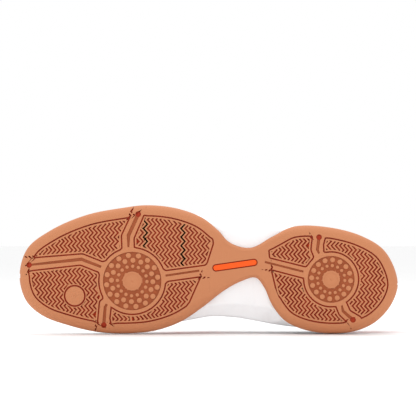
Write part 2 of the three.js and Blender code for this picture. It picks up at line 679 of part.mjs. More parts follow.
function addSole() {
  const shankRing = closedRing([[18, 2], [10, 14], [-35, 15], [-78, 13], [-84, -4], [-78, -20], [-35, -17], [10, -13]], 48);
  const shank = slab(shankRing, (x) => floorHeight(x) - 1.7, (x) => floorHeight(x) - 0.2);
  const shankPocket = slab(offsetRing(shankRing, GAP), (x) => floorHeight(x) - 2, (x) => floorHeight(x) + 2);
  const cup = dome(LAYER.sole).intersect(wideSlab(floorHeight, () => HIGH));
  const seat = stationLoft(outsoleRing, (x, inner, outer) => {
    return outsoleSection(x, inner, outer).map(([y, z]) => [y, z + GAP]);
  });
  const midsole = stationLoft(outsoleRing, midsoleSection).subtract(seat).subtract(cup).subtract(shankPocket);
  add('outsole', makeOutsole(), GUM, 0.6);
  add('outsole_inlay', makeInlay(), ORANGE, 0.5);
  add('midsole', midsole, WHITE, 0.55);
  add('shank', shank, 0x30302f, 0.4);
  const boardTop = (x) => floorHeight(x) + GAP + BOARD_THICK;
  add('strobel_board', slab(offsetRing(featherRing, -1.2), (x) => floorHeight(x) + GAP, boardTop), CLOTH, 0.9);
  const sockRing = offsetRing(featherRing, -2);
  const sockTop = (x) => boardTop(x) + GAP + SOCK_THICK;
  add('sockliner', slab(sockRing, (x) => boardTop(x) + GAP, sockTop), RED, 0.9);
}

function addUpper() {
  const lining = makeLining();
  const frontShell = shellLayer.intersect(vampLine(0));
  const rearShell = shellLayer.subtract(vampLine(-0.4));
  const overlays = makeOverlays();
  add('vamp_lining', lining.intersect(vampLine(0)), CLOTH, 0.9);
  add('quarter_lining', lining.subtract(vampLine(-0.4)), CLOTH, 0.9);
  add('collar_padding', makeCollarPadding(), FOAM, 1);
  add('toe_puff', makeStiffener(toePuffSide.intersect(sidePrism([[112.4, -30], [104.4, 90], [200, 90], [200, -30]]))), FOAM, 0.7);
  add('heel_counter', makeStiffener(counterSide(0)), 0xd8d2c0, 0.5);
  add('vamp', frontShell, WHITE, 0.55);
  add('quarter_lateral', rearShell.intersect(outerHalf), WHITE, 0.55);
  add('quarter_medial', rearShell.intersect(innerHalf), WHITE, 0.55);
  add('toe_cap', overlays.toe_cap, WHITE, 0.5);
  add('heel_overlay', overlays.heel_overlay, RED, 0.5);
  add('eyestay_lateral', overlays.eyestay.outer, WHITE, 0.5);
  add('eyestay_medial', overlays.eyestay.inner, WHITE, 0.5);
  add('saddle_lateral', overlays.saddle.outer, RED, 0.5);
  add('saddle_medial', overlays.saddle.inner, RED, 0.5);
  add('base_band_lateral', overlays.base_band.outer, RED, 0.5);
  add('base_band_medial', overlays.base_band.inner, RED, 0.5);
  add('heel_loop', makeHeelLoop(), RED, 0.8);
}

function addTongue() {
  add('tongue', makeTongueLayer(TONGUE.face), WHITE, 0.6);
  add('tongue_foam', makeTongueLayer(TONGUE.foam), FOAM, 1);
  add('tongue_lining', makeTongueLayer(TONGUE.lining), CLOTH, 0.9);
  add('tongue_label', makeTongueLayer([-0.3, 0.5], 7, [4, -14]), RED, 0.6);
  add('tongue_gusset_lateral', makeGusset(1), CLOTH, 0.9);
  add('tongue_gusset_medial', makeGusset(-1), CLOTH, 0.9);
}

function addLace() {
  const outer = strandRoute(1);
  const inner = strandRoute(-1);
  add('lace', cordLoft([...outer.slice().reverse(), ...inner], LACE_RADIUS, 5), WHITE, 0.9);
  add('aglet_lateral', makeAglet(outer.at(-1), outer.at(-2)), 0xffffff, 0.3);
  add('aglet_medial', makeAglet(inner.at(-1), inner.at(-2)), 0xffffff, 0.3);
}

addSole();
addUpper();
addTongue();
addLace();

export default shoe;
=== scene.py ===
"""A left court shoe: gum rubber tread, moulded midsole, leather upper, tongue and lace.

Everything is in metres in the shoe's own frame: +X toe, +Y outer side, +Z up from the ground.
Sizes of the shoe are in millimetres and are scaled once, when a mesh is made. Those of the stage
and of the lace lines are in metres.
"""

import logging
import math
from dataclasses import dataclass
from enum import Enum
from typing import Callable, Iterable, Sequence

import bmesh
import bpy
import numpy as np
from mathutils import Matrix, Vector
from mathutils.bvhtree import BVHTree


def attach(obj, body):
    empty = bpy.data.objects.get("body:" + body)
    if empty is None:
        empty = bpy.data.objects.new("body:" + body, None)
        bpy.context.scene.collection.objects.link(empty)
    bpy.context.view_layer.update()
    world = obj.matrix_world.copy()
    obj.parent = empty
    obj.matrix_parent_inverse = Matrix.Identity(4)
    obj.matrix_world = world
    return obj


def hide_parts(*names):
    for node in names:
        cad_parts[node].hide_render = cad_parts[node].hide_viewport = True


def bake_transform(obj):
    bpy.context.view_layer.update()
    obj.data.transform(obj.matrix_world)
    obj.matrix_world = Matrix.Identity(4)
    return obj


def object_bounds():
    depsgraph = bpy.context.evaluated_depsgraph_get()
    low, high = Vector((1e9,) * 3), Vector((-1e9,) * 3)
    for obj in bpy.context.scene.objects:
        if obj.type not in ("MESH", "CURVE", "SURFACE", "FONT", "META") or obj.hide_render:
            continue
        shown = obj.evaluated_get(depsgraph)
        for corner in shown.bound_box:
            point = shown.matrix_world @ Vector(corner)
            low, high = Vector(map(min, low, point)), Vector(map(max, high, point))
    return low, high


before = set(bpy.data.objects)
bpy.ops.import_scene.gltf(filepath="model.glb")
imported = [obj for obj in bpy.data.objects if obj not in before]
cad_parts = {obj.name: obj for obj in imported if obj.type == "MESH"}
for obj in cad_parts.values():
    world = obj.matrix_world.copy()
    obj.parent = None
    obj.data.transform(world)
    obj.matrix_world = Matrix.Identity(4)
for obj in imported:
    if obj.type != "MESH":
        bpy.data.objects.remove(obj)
CAD_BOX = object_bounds()
LOG = logging.getLogger("court_shoe")

MM = 0.001
Point2 = tuple[float, float]
Point3 = tuple[float, float, float]


class Body(Enum):
    """The rigid bodies that pieces ride on."""

    SHOE = "shoe"
    TONGUE = "tongue"
    SOCKLINER = "sockliner"


class Side(Enum):
    """The two sides of the shoe, with the sign of Y on each."""

    LATERAL = 1
    MEDIAL = -1


# ---- curves and numbers ---------------------------------------------------------------------


def mix(a: float, b: float, u: float) -> float:
    """Blend from a to b."""
    return a + (b - a) * u


def smooth(a: float, b: float, v: float) -> float:
    """Rise smoothly from 0 at a to 1 at b."""
    u = min(1.0, max(0.0, (v - a) / (b - a)))
    return u * u * (3 - 2 * u)


def line_at(points: Sequence[Point2], x: float) -> float:
    """Read a broken line of (x, value) points at x."""
    order = sorted(points)
    return float(np.interp(x, [p[0] for p in order], [p[1] for p in order]))


def spline(points: Sequence[Sequence[float]], count: int, closed: bool = False) -> np.ndarray:
    """Run a centripetal Catmull-Rom curve through the points, evenly spaced.

    Args:
        points: The points that the curve passes through.
        count: How many points to return.
        closed: Whether the curve returns to its start.

    Returns:
        An array of count rows.
    """
    p = np.array(points, float)
    if closed:
        p = np.vstack([p[-1], p, p[0], p[1]])
    else:
        p = np.vstack([2 * p[0] - p[1], p, 2 * p[-1] - p[-2]])
    rows = []
    for p0, p1, p2, p3 in zip(p, p[1:], p[2:], p[3:]):
        t1 = math.sqrt(np.linalg.norm(p1 - p0)) + 1e-9
        t2 = t1 + math.sqrt(np.linalg.norm(p2 - p1)) + 1e-9
        t3 = t2 + math.sqrt(np.linalg.norm(p3 - p2)) + 1e-9
        for t in np.linspace(t1, t2, 24, endpoint=False):
            a1 = p0 * (t1 - t) / t1 + p1 * t / t1
            a2 = p1 * (t2 - t) / (t2 - t1) + p2 * (t - t1) / (t2 - t1)
            a3 = p2 * (t3 - t) / (t3 - t2) + p3 * (t - t2) / (t3 - t2)
            b1 = a1 * (t2 - t) / t2 + a2 * t / t2
            b2 = a2 * (t3 - t) / (t3 - t1) + a3 * (t - t1) / (t3 - t1)
            rows.append(b1 * (t2 - t) / (t2 - t1) + b2 * (t - t1) / (t2 - t1))
    rows.append(rows[0] if closed else p[-2])
    dense = np.array(rows)
    steps = np.concatenate([[0], np.cumsum(np.linalg.norm(np.diff(dense, axis=0), axis=1))])
    at = np.linspace(0, steps[-1], count, endpoint=not closed)
    return np.stack([np.interp(at, steps, dense[:, k]) for k in range(dense.shape[1])], axis=1)


def ring_normals(ring: np.ndarray) -> np.ndarray:
    """Outward normals of a closed anticlockwise ring in plan."""
    along = np.roll(ring, -1, axis=0) - np.roll(ring, 1, axis=0)
    out = np.stack([along[:, 1], -along[:, 0]], axis=1)
    return out / np.linalg.norm(out, axis=1, keepdims=True)


def ring_distance(ring: np.ndarray, points: np.ndarray) -> np.ndarray:
    """Distance from each point to a closed ring in plan."""
    best = np.full(len(points), np.inf)
    for a, b in zip(ring, np.roll(ring, -1, axis=0)):
        ab = b - a
        u = np.clip(((points - a) @ ab) / (ab @ ab), 0, 1)
        best = np.minimum(best, np.linalg.norm(points - a - u[:, None] * ab, axis=1))
    return best


def span_at(ring: np.ndarray, x: float) -> Point2:
    """Lowest and highest y of a closed ring at one x."""
    x = min(ring[:, 0].max() - 0.05, max(ring[:, 0].min() + 0.05, x))
    nxt = np.roll(ring, -1, axis=0)
    hit = (ring[:, 0] - x) * (nxt[:, 0] - x) <= 0
    a, b = ring[hit], nxt[hit]
    keep = np.abs(a[:, 0] - b[:, 0]) > 1e-9
    a, b = a[keep], b[keep]
    y = a[:, 1] + (b[:, 1] - a[:, 1]) * (x - a[:, 0]) / (b[:, 0] - a[:, 0])
    return float(y.min()), float(y.max())


# ---- meshes ---------------------------------------------------------------------------------


def new_piece(name: str, bm: bmesh.types.BMesh, body: Body = Body.SHOE) -> bpy.types.Object:
    """Turn a bmesh in millimetres into a piece in metres that rides on a body.

    Args:
        name: The piece's name.
        bm: The mesh, which is freed.
        body: What the piece moves with.

    Returns:
        The new object, smooth shaded.
    """
    bmesh.ops.transform(bm, matrix=Matrix.Scale(MM, 4), verts=bm.verts)
    mesh = bpy.data.meshes.new(name)
    bm.to_mesh(mesh)
    bm.free()
    mesh.polygons.foreach_set("use_smooth", [True] * len(mesh.polygons))
    piece = bpy.data.objects.new(name, mesh)
    bpy.context.scene.collection.objects.link(piece)
    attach(piece, body.value)
    LOG.info("%s: %d faces", name, len(mesh.polygons))
    return piece


def apply_modifier(piece: bpy.types.Object, kind: str, **settings: object) -> None:
    """Add a modifier, set it and apply it to the mesh at once."""
    modifier = piece.modifiers.new(kind.lower(), kind)
    for key, value in settings.items():
        setattr(modifier, key, value)
    depsgraph = bpy.context.evaluated_depsgraph_get()
    mesh = bpy.data.meshes.new_from_object(piece.evaluated_get(depsgraph))
    piece.modifiers.clear()
    old = piece.data
    piece.data = mesh
    bpy.data.meshes.remove(old)


def boolean(base: bmesh.types.BMesh, tool: bmesh.types.BMesh, operation: str) -> bmesh.types.BMesh:
    """Join, cut or intersect two closed meshes.

    Args:
        base: The mesh to work on, which is freed.
        tool: The other mesh, which is freed.
        operation: UNION, DIFFERENCE or INTERSECT.

    Returns:
        The result. After a DIFFERENCE, faces left by the tool have material index 1.
    """
    objects = []
    for index, bm in enumerate((base, tool)):
        bmesh.ops.recalc_face_normals(bm, faces=bm.faces)
        mesh = bpy.data.meshes.new("scratch")
        bm.to_mesh(mesh)
        bm.free()
        mesh.materials.append(None)
        mesh.materials.append(None)
        if operation == "DIFFERENCE" and index == 1:
            mesh.polygons.foreach_set("material_index", [1] * len(mesh.polygons))
        objects.append(bpy.data.objects.new("scratch", mesh))
        bpy.context.scene.collection.objects.link(objects[-1])
    modifier = objects[0].modifiers.new("cut", "BOOLEAN")
    modifier.operation = operation
    modifier.solver = "MANIFOLD"
    modifier.object = objects[1]
    depsgraph = bpy.context.evaluated_depsgraph_get()
    result = bmesh.new()
    evaluated = objects[0].evaluated_get(depsgraph)
    result.from_mesh(evaluated.to_mesh())
    evaluated.to_mesh_clear()
    for item in objects:
        mesh = item.data
        bpy.data.objects.remove(item)
        bpy.data.meshes.remove(mesh)
    return result


def flat_face(bm: bmesh.types.BMesh, outline: Iterable[Point2], level: float) -> bmesh.types.BMFace:
    """Add one flat face that looks down."""
    face = bm.faces.new([bm.verts.new((x, y, level)) for x, y in outline])
    face.normal_update()
    if face.normal.z > 0:
        face.normal_flip()
    return face


def extrude_up(bm: bmesh.types.BMesh, faces: list[bmesh.types.BMFace], height: float) -> None:
    """Extrude flat faces upwards into closed blocks."""
    top = bmesh.ops.extrude_face_region(bm, geom=faces, use_keep_orig=True)
    moved = [v for v in top["geom"] if isinstance(v, bmesh.types.BMVert)]
    bmesh.ops.translate(bm, vec=(0, 0, height), verts=moved)
    bmesh.ops.recalc_face_normals(bm, faces=bm.faces)


def block(outline: Iterable[Point2], low: float, high: float) -> bmesh.types.BMesh:
    """A closed flat block with a plan outline."""
    bm = bmesh.new()
    extrude_up(bm, [flat_face(bm, outline, low)], high - low)
    return bm


def circle(centre: Point2, radius: float, sides: int = 64) -> list[Point2]:
    """A circle in plan, from +Y towards -X."""
    angles = [math.radians(360 * i / sides) for i in range(sides)]
    return [(centre[0] - radius * math.sin(a), centre[1] + radius * math.cos(a)) for a in angles]


def slice_up(bm: bmesh.types.BMesh, axis: int, levels: Iterable[float], snap: float = 1e-4) -> None:
    """Split the faces of a mesh by planes across one axis, and take nothing away."""
    normal = Vector([1.0 if i == axis else 0.0 for i in range(3)])
    for level in levels:
        geometry = [*bm.verts, *bm.edges, *bm.faces]
        bmesh.ops.bisect_plane(
            bm, geom=geometry, dist=snap, plane_co=normal * level, plane_no=normal
        )


# ---- finishes -------------------------------------------------------------------------------


@dataclass(frozen=True)
class Finish:
    """A material with colour drift, roughness drift and fine relief.

    Attributes:
        name: The material's name.
        color: Main colour, linear.
        shade: Second colour, in patches of drift.
        roughness: Roughness of the surface.
        drift: Size of the colour drift, in cells per metre.
        grain: Scale of the fine relief, in cells per metre.
        bump: Strength of the relief.
        weave: Threads per metre, or 0 for no weave.
        sheen: Fuzz of cloth.
        coat: Clear coat.
        cellular: Whether the relief is pebbled, as on leather and foam.
        gloss: Strength of the reflection.
    """

    name: str
    color: Point3
    shade: Point3
    roughness: float = 0.5
    drift: float = 60.0
    grain: float = 900.0
    bump: float = 0.15
    weave: float = 0.0
    sheen: float = 0.0
    coat: float = 0.0
    cellular: bool = False
    gloss: float = 0.3

    def build(self) -> bpy.types.Material:
        """Make the node material."""
        material = bpy.data.materials.new(self.name)
        material.use_nodes = True
        nodes, links = material.node_tree.nodes, material.node_tree.links
        shader = nodes["Principled BSDF"]
        shader.inputs["Sheen Weight"].default_value = self.sheen
        shader.inputs["Coat Weight"].default_value = self.coat
        shader.inputs["Specular IOR Level"].default_value = self.gloss
        where = nodes.new("ShaderNodeTexCoord").outputs["Object"]

        def noise(scale: float, detail: float) -> bpy.types.NodeSocket:
            node = nodes.new("ShaderNodeTexNoise")
            node.inputs["Scale"].default_value = scale
            node.inputs["Detail"].default_value = detail
            links.new(where, node.inputs["Vector"])
            return node.outputs["Fac"]

        def ramp(value: bpy.types.NodeSocket, low: float, high: float) -> bpy.types.NodeSocket:
            node = nodes.new("ShaderNodeMapRange")
            node.inputs["From Min"].default_value = 0.3
            node.inputs["From Max"].default_value = 0.7
            node.inputs["To Min"].default_value = low
            node.inputs["To Max"].default_value = high
            links.new(value, node.inputs["Value"])
            return node.outputs["Result"]

        cloud = noise(self.drift, 4)
        mixer = nodes.new("ShaderNodeMix")
        mixer.data_type = "RGBA"
        links.new(ramp(cloud, 0.0, 1.0), mixer.inputs["Factor"])
        mixer.inputs["A"].default_value = (*self.color, 1)
        mixer.inputs["B"].default_value = (*self.shade, 1)
        links.new(mixer.outputs["Result"], shader.inputs["Base Color"])
        rough = ramp(noise(self.drift * 3, 3), self.roughness - 0.06, self.roughness + 0.08)
        links.new(rough, shader.inputs["Roughness"])
        relief = self._relief(nodes, links, where, noise)
        bump = nodes.new("ShaderNodeBump")
        bump.inputs["Strength"].default_value = self.bump
        bump.inputs["Distance"].default_value = 0.0004
        links.new(relief, bump.inputs["Height"])
        links.new(bump.outputs["Normal"], shader.inputs["Normal"])
        return material

    def _relief(
        self,
        nodes: bpy.types.Nodes,
        links: bpy.types.NodeLinks,
        where: bpy.types.NodeSocket,
        noise: Callable[[float, float], bpy.types.NodeSocket],
    ) -> bpy.types.NodeSocket:
        """Grain of leather or rubber, or the threads of a cloth.

        Args:
            nodes: The material's nodes.
            links: The material's links.
            where: The Object coordinates.
            noise: Makes a noise of a scale and detail.

        Returns:
            The height of the relief.
        """
        if self.weave:
            total = None
            for direction in ("DIAGONAL", "Z"):
                wave = nodes.new("ShaderNodeTexWave")
                wave.bands_direction = direction
                wave.inputs["Scale"].default_value = self.weave / 6.2832
                wave.inputs["Distortion"].default_value = 0.4
                links.new(where, wave.inputs["Vector"])
                if total is None:
                    total = wave.outputs["Fac"]
                    continue
                both = nodes.new("ShaderNodeMath")
                both.operation = "MAXIMUM"
                links.new(total, both.inputs[0])
                links.new(wave.outputs["Fac"], both.inputs[1])
                total = both.outputs[0]
            return total
        if self.cellular:
            cells = nodes.new("ShaderNodeTexVoronoi")
            cells.feature = "DISTANCE_TO_EDGE"
            cells.inputs["Scale"].default_value = self.grain
            links.new(where, cells.inputs["Vector"])
            edge = nodes.new("ShaderNodeMapRange")
            edge.inputs["From Max"].default_value = 0.25
            links.new(cells.outputs["Distance"], edge.inputs["Value"])
            return edge.outputs["Result"]
        return noise(self.grain, 5)


class Finishes(Enum):
    """Every finish on the shoe.

    A finish that is named as one of the frame's material slots is not built: the plain material
    that the frame brought in is used in its place.
    """

    GUM = Finish("gum_rubber", (0.50, 0.145, 0.026), (0.44, 0.118, 0.020), 0.5, 45, 1600, 0.10,
                 gloss=0.12)
    # Gum painted darker and redder as shade on the walls and floors of the grooves.
    GUM_GROOVE = Finish("gum_groove", (0.42, 0.035, 0.001), (0.34, 0.02, 0.001), 0.55, 70, 1600, 0.1)
    # Gum painted darker as shade on the sunk floors of the pivots and channels.
    GUM_PAINTED_RECESS_SHADE = Finish("gum_recess_painted_shade", (0.37, 0.088, 0.026), (0.32, 0.072, 0.02), 0.6, 70, 1900, 0.2)
    INLAY = Finish("orange_inlay", (1.0, 0.115, 0.003), (0.92, 0.09, 0.002), 0.4, 80, 1500, 0.05)
    MIDSOLE = Finish("midsole_foam", (0.58, 0.58, 0.60), (0.53, 0.53, 0.55), 0.5, 60, 2600, 0.10)
    WHITE = Finish("white_leather", (0.44, 0.44, 0.44), (0.38, 0.38, 0.385), 0.42, 50, 1100, 0.28,
                   coat=0.08, cellular=True)
    RED = Finish("red_leather", (0.24, 0.010, 0.002), (0.19, 0.007, 0.002), 0.42, 50, 1100, 0.28,
                 coat=0.1, cellular=True)
    TONGUE_FACE = Finish("tongue_cloth", (0.50, 0.50, 0.51), (0.44, 0.44, 0.45), 0.75, 50, 900, 0.35,
                         weave=2600, sheen=0.2)
    LINING = Finish("lining_cloth", (0.46, 0.46, 0.47), (0.39, 0.39, 0.41), 0.85, 60, 900, 0.45,
                    weave=3200, sheen=0.3)
    SOCK = Finish("sockliner_cloth", (0.42, 0.05, 0.02), (0.34, 0.035, 0.015), 0.85, 60, 900, 0.4,
                  weave=2800, sheen=0.25)
    LACE = Finish("lace_cloth", (0.60, 0.60, 0.60), (0.52, 0.52, 0.53), 0.8, 90, 900, 0.6,
                  weave=4200, sheen=0.3)
    THREAD = Finish("sewing_thread", (0.66, 0.66, 0.66), (0.58, 0.58, 0.58), 0.6, 90, 4000, 0.4)
    WEBBING = Finish("webbing", (0.50, 0.04, 0.01), (0.42, 0.03, 0.008), 0.75, 90, 900, 0.6,
                     weave=3600, sheen=0.2)
    PLASTIC = Finish("clear_plastic", (0.86, 0.86, 0.87), (0.80, 0.80, 0.82), 0.25, 80, 900, 0.02,
                     coat=0.3)
    DARK = Finish("dark_nylon", (0.03, 0.03, 0.03), (0.04, 0.04, 0.04), 0.4, 80, 900, 0.05)
    FOAM = Finish("open_foam", (0.78, 0.72, 0.58), (0.7, 0.64, 0.5), 0.9, 90, 3000, 0.6, cellular=True)

    def material(self) -> bpy.types.Material:
        """The material of this name: the frame's own if it has one, else one that is built once."""
        found = bpy.data.materials.get(self.value.name)
        return found or self.value.build()


def dress(piece: bpy.types.Object, *finishes: Finishes) -> None:
    """Put finishes into a piece's material slots, in order."""
    for finish in finishes:
        piece.data.materials.append(finish.material())


# ---- heights along the shoe -----------------------------------------------------------------


@dataclass(frozen=True)
class SoleForm:
    """The side view of the sole unit, in millimetres."""

    half_length: float = 148
    toe_spring: float = 14
    spring_from: float = 62
    heel_bevel: float = 3
    bevel_from: float = -125
    arch_rise: float = 2.5
    arch: Point2 = (-68, 2)
    floor_heel: float = 20
    floor_fore: float = 12

    def spring(self, x: float) -> float:
        """Height of the toe spring alone."""
        reach = max(0.0, (x - self.spring_from) / (self.half_length - self.spring_from))
        return self.toe_spring * reach**2

    def ground(self, x: float) -> float:
        """Height of the tread above the ground."""
        heel = max(0.0, (self.bevel_from - x) / (self.half_length + self.bevel_from))
        along = min(1.0, max(0.0, (x - self.arch[0]) / (self.arch[1] - self.arch[0])))
        arch = self.arch_rise * math.sin(math.pi * along) ** 2
        return self.spring(x) + self.heel_bevel * heel**2 + arch

    def floor(self, x: float) -> float:
        """Height of the bed that the foot stands on."""
        return mix(self.floor_heel, self.floor_fore, smooth(-75, 35, x)) + 0.9 * self.spring(x)

    def wrap(self, x: float) -> float:
        """1 where the outsole wraps up the side, 0 at the waist."""
        return 1 - smooth(-72, -50, x) * (1 - smooth(-14, 8, x))


SOLE = SoleForm()
OUTLINE = spline(
    [
        (148, -5), (141.8, 16), (123, 30.5), (95, 42.4), (67, 47.9), (48, 50), (25, 47.6), (5, 40.4),
        (-7.6, 30.5), (-17, 20.8), (-33, 16.8), (-49.6, 25.3), (-66, 33.2), (-91.6, 33.1),
        (-119.6, 26), (-138.3, 13.6), (-148, -10.5), (-142.9, -27.6), (-128.9, -42.2), (-110, -49.2),
        (-82, -48.8), (-61, -41), (-50, -28.2), (-43.5, -14), (-37, -6.5), (-26, -9.2), (-12, -16.8),
        (5, -30), (22, -41.2), (42, -48), (62, -50), (85, -49.2), (109, -44), (130, -36.3),
        (143, -24.5),
    ],
    420,
    closed=True,
)


# ---- outsole --------------------------------------------------------------------------------


@dataclass(frozen=True)
class Pivot:
    """A turning disc in the tread: a sunk round floor with rings of nubs and a centre disc.

    Attributes:
        centre: Where it is in plan.
        border: Radius of the ridge around it.
        floor: Radius of the sunk floor.
        disc: Radius of the centre disc.
        rings: Each ring's radius, nub radius and turn in degrees.
        nubs: How many nubs each ring has.
    """

    centre: Point2
    border: float
    floor: float
    disc: float
    rings: tuple[Point3, ...]
    nubs: int = 16

    def polar(self, radius: float, degrees: float) -> Point2:
        """A point around the centre, with the angle taken from +Y towards -X."""
        angle = math.radians(degrees)
        return (
            self.centre[0] - radius * math.sin(angle),
            self.centre[1] + radius * math.cos(angle),
        )

    def arc(self, start: Point2, end: Point2) -> list[Point2]:
        """The stretch of the border between two points, the short way round."""
        a, b = (math.atan2(p[1] - self.centre[1], p[0] - self.centre[0]) for p in (start, end))
        turn = (b - a + math.pi) % (2 * math.pi) - math.pi
        count = max(3, int(abs(turn) * self.border / 2.2))
        angles = [a + turn * i / count for i in range(count + 1)]
        cx, cy = self.centre
        return [(cx + self.border * math.cos(t), cy + self.border * math.sin(t)) for t in angles]


FORE_PIVOT = Pivot(
    (59.2, -9.0), 25.4, 22.7, 7.4, ((20.1, 2.1, -8.4), (16.1, 2.0, 2.0), (11.5, 1.4, 2.3))
)
HEEL_PIVOT = Pivot((-95.6, -7.7), 20.8, 18.2, 6.8, ((15.2, 2.0, 4.3), (10.7, 1.3, 5.1)))


class Edge(Enum):
    """Curved stretches in a tread zone's outline."""

    RIM = "rim"
    FORE = "fore"
    HEEL = "heel"


@dataclass
class Outsole:
    """The gum rubber outsole with its rim, zones, channels and herringbone."""

    thick: float = 4.5
    rim_width: float = 8.0
    rim_height: float = 8.0
    waist_rim_width: float = 3.0
    waist_rim_height: float = 5.0
    lip: float = 2.2
    border_groove: float = 1.15
    border_ridge: float = 1.15
    groove_depth: float = 1.3
    recess_depth: float = 0.9
    pitch: float = 3.25
    zigzag_period: float = 6.7
    zigzag_depth: float = 3.1
    zigzag_phase: float = 8.4
    groove_top: float = 1.45
    groove_bottom: float = 0.95
    slice_step: float = 4.0
    zones: tuple[tuple[object, ...], ...] = (
        ((138.6, 8.2), Edge.RIM, (59.3, 42.9), (67.0, 26.3), (66.6, 16.2), Edge.FORE, (82.3, 5.4),
         (98.0, 11.6)),
        ((142.0, -1.5), (137.2, -0.5), (99.4, 3.9), (84.8, -1.9), Edge.FORE, (81.3, -23.0),
         (84.1, -25.0), (85.8, -43.4), Edge.RIM),
        ((50.3, 42.9), Edge.RIM, (-4.0, 24.0), (-4.6, 20.1), (0.4, 4.6), (2.0, 2.8), (33.3, -1.5),
         Edge.FORE, (58.0, 16.9), (58.3, 24.2)),
        ((31.9, -8.8), (4.9, -5.0), (14.2, -25.8), Edge.RIM, (76.0, -43.6), (77.1, -38.3),
         (76.0, -28.6), Edge.FORE),
        ((-46.6, 15.3), Edge.RIM, (-81.6, 26.0), (-80.4, 15.3), (-82.7, 9.5), Edge.HEEL,
         (-76.0, 1.3), (-47.2, 8.5)),
        ((-90.7, 25.2), Edge.RIM, (-119.1, -38.7), (-117.8, -37.0), (-110.0, -32.4), (-106.8, -25.3),
         Edge.HEEL, (-89.4, 13.1), (-89.1, 19.2)),
        ((-48.3, 0.5), (-74.5, -6.4), Edge.HEEL, (-99.7, -28.5), (-102.3, -35.0), (-108.7, -41.0),
         Edge.RIM, (-53.1, -19.8)),
    )
    channels: tuple[tuple[Point3, ...], ...] = (
        ((140.0, 3.3, 1.6), (98.7, 7.9, 2.6), (83.4, 2.0, 2.0)),
        ((54.5, 43.0, 2.8), (62.1, 26.3, 2.8), (62.1, 17.4, 1.4)),
        ((81.3, -43.3, 2.6), (80.2, -29.2, 2.2), (78.9, -27.0, 1.8)),
        ((33.2, -4.8, 1.6), (7.0, -0.9, 1.6)),
        ((-44.1, 5.8, 1.6), (-74.0, -1.7, 1.6)),
        ((-86.2, 25.1, 2.6), (-84.9, 15.3, 2.2), (-86.2, 12.4, 1.4)),
        ((-112.6, -39.2, 2.6), (-104.8, -32.4, 2.2), (-103.9, -28.0, 1.4)),
    )
    node_radius: float = 2.2
    corner_radius: float = 1.1
    corner_side: float = 2.4
    corner_turn: float = 0.35
    channel_depth: float = 0.65
    dish_rim: float = 1.5
    dish_depth: float = 0.35
    seat_depth: float = 1.2
    toe_disc: Point2 = (104.0, -20.6)
    toe_ring: float = 7.3
    toe_clear: float = 9.2
    inlay_from: Point2 = (-6.0, 1.2)
    inlay_to: Point2 = (-35.6, 5.4)
    inlay_width: float = 4.2

    def _rim_stretch(self, start: Point2, end: Point2) -> list[Point2]:
        """The inner line of the rim between two points, the short way round."""
        inner = OUTLINE - ring_normals(OUTLINE) * (self.rim_width - 0.3)
        i, j = (int(np.argmin(np.linalg.norm(inner - np.array(p), axis=1))) for p in (start, end))
        count = len(inner)
        ahead = (j - i) % count
        step = 1 if ahead <= count / 2 else -1
        span = ahead if step > 0 else count - ahead
        return [tuple(inner[(i + step * k) % count]) for k in range(2, span - 1, 2)]

    def zone_outline(self, items: Sequence[object]) -> list[Point2]:
        """Spell out a zone's outline, with its curved stretches."""
        outline: list[Point2] = []
        for k, item in enumerate(items):
            if not isinstance(item, Edge):
                outline.append(item)
                continue
            start = items[k - 1]
            end = items[(k + 1) % len(items)]
            if item is Edge.RIM:
                outline += self._rim_stretch(start, end)
            else:
                pivot = FORE_PIVOT if item is Edge.FORE else HEEL_PIVOT
                outline += pivot.arc(start, end)[1:-1]
        return outline

    def _zone_face(self, bm: bmesh.types.BMesh, items: Sequence[object]) -> bmesh.types.BMFace:
        """Add a zone's flat outline with rounded corners to a bmesh."""
        face = flat_face(bm, self.zone_outline(items), -1)
        sharp = []
        for loop in face.loops:
            before = loop.vert.co - loop.link_loop_prev.vert.co
            after = loop.link_loop_next.vert.co - loop.vert.co
            straight = min(before.length, after.length) > self.corner_side
            if straight and before.angle(after) > self.corner_turn:
                sharp.append(loop.vert)
        bmesh.ops.bevel(
            bm, geom=sharp, affect="VERTICES", offset=self.corner_radius, segments=3, profile=0.5,
            material=-1,
        )
        return max(bm.faces, key=lambda f: f.calc_area())

    def _borders_and_fields(self) -> tuple[bmesh.types.BMesh, bmesh.types.BMesh]:
        """The cutters of the border grooves, and the fields that the herringbone fills."""
        grooves, fields = bmesh.new(), bmesh.new()
        for items in self.zones:
            work = bmesh.new()
            inner = self._zone_face(work, items)
            bmesh.ops.inset_individual(
                work, faces=[inner], thickness=self.border_groove, use_even_offset=True
            )
            ring = [f for f in work.faces if f is not inner]
            keep = work.copy()
            self._raise(work, ring, self.groove_depth + 1)
            self._pour(work, grooves)
            inner = max(keep.faces, key=lambda f: len(f.verts))
            bmesh.ops.inset_individual(
                keep, faces=[inner], thickness=self.border_ridge, use_even_offset=True
            )
            self._raise(keep, [inner], self.groove_depth + 3)
            self._pour(keep, fields)
        return grooves, fields

    @staticmethod
    def _raise(bm: bmesh.types.BMesh, faces: list[bmesh.types.BMFace], height: float) -> None:
        """Keep only some flat faces and extrude them upwards into closed blocks."""
        others = [f for f in bm.faces if f not in set(faces)]
        bmesh.ops.delete(bm, geom=others, context="FACES")
        extrude_up(bm, faces, height)

    @staticmethod
    def _pour(source: bmesh.types.BMesh, target: bmesh.types.BMesh) -> None:
        """Add one bmesh to another and free the first."""
        mesh = bpy.data.meshes.new("scratch")
        source.to_mesh(mesh)
        source.free()
        target.from_mesh(mesh)
        bpy.data.meshes.remove(mesh)

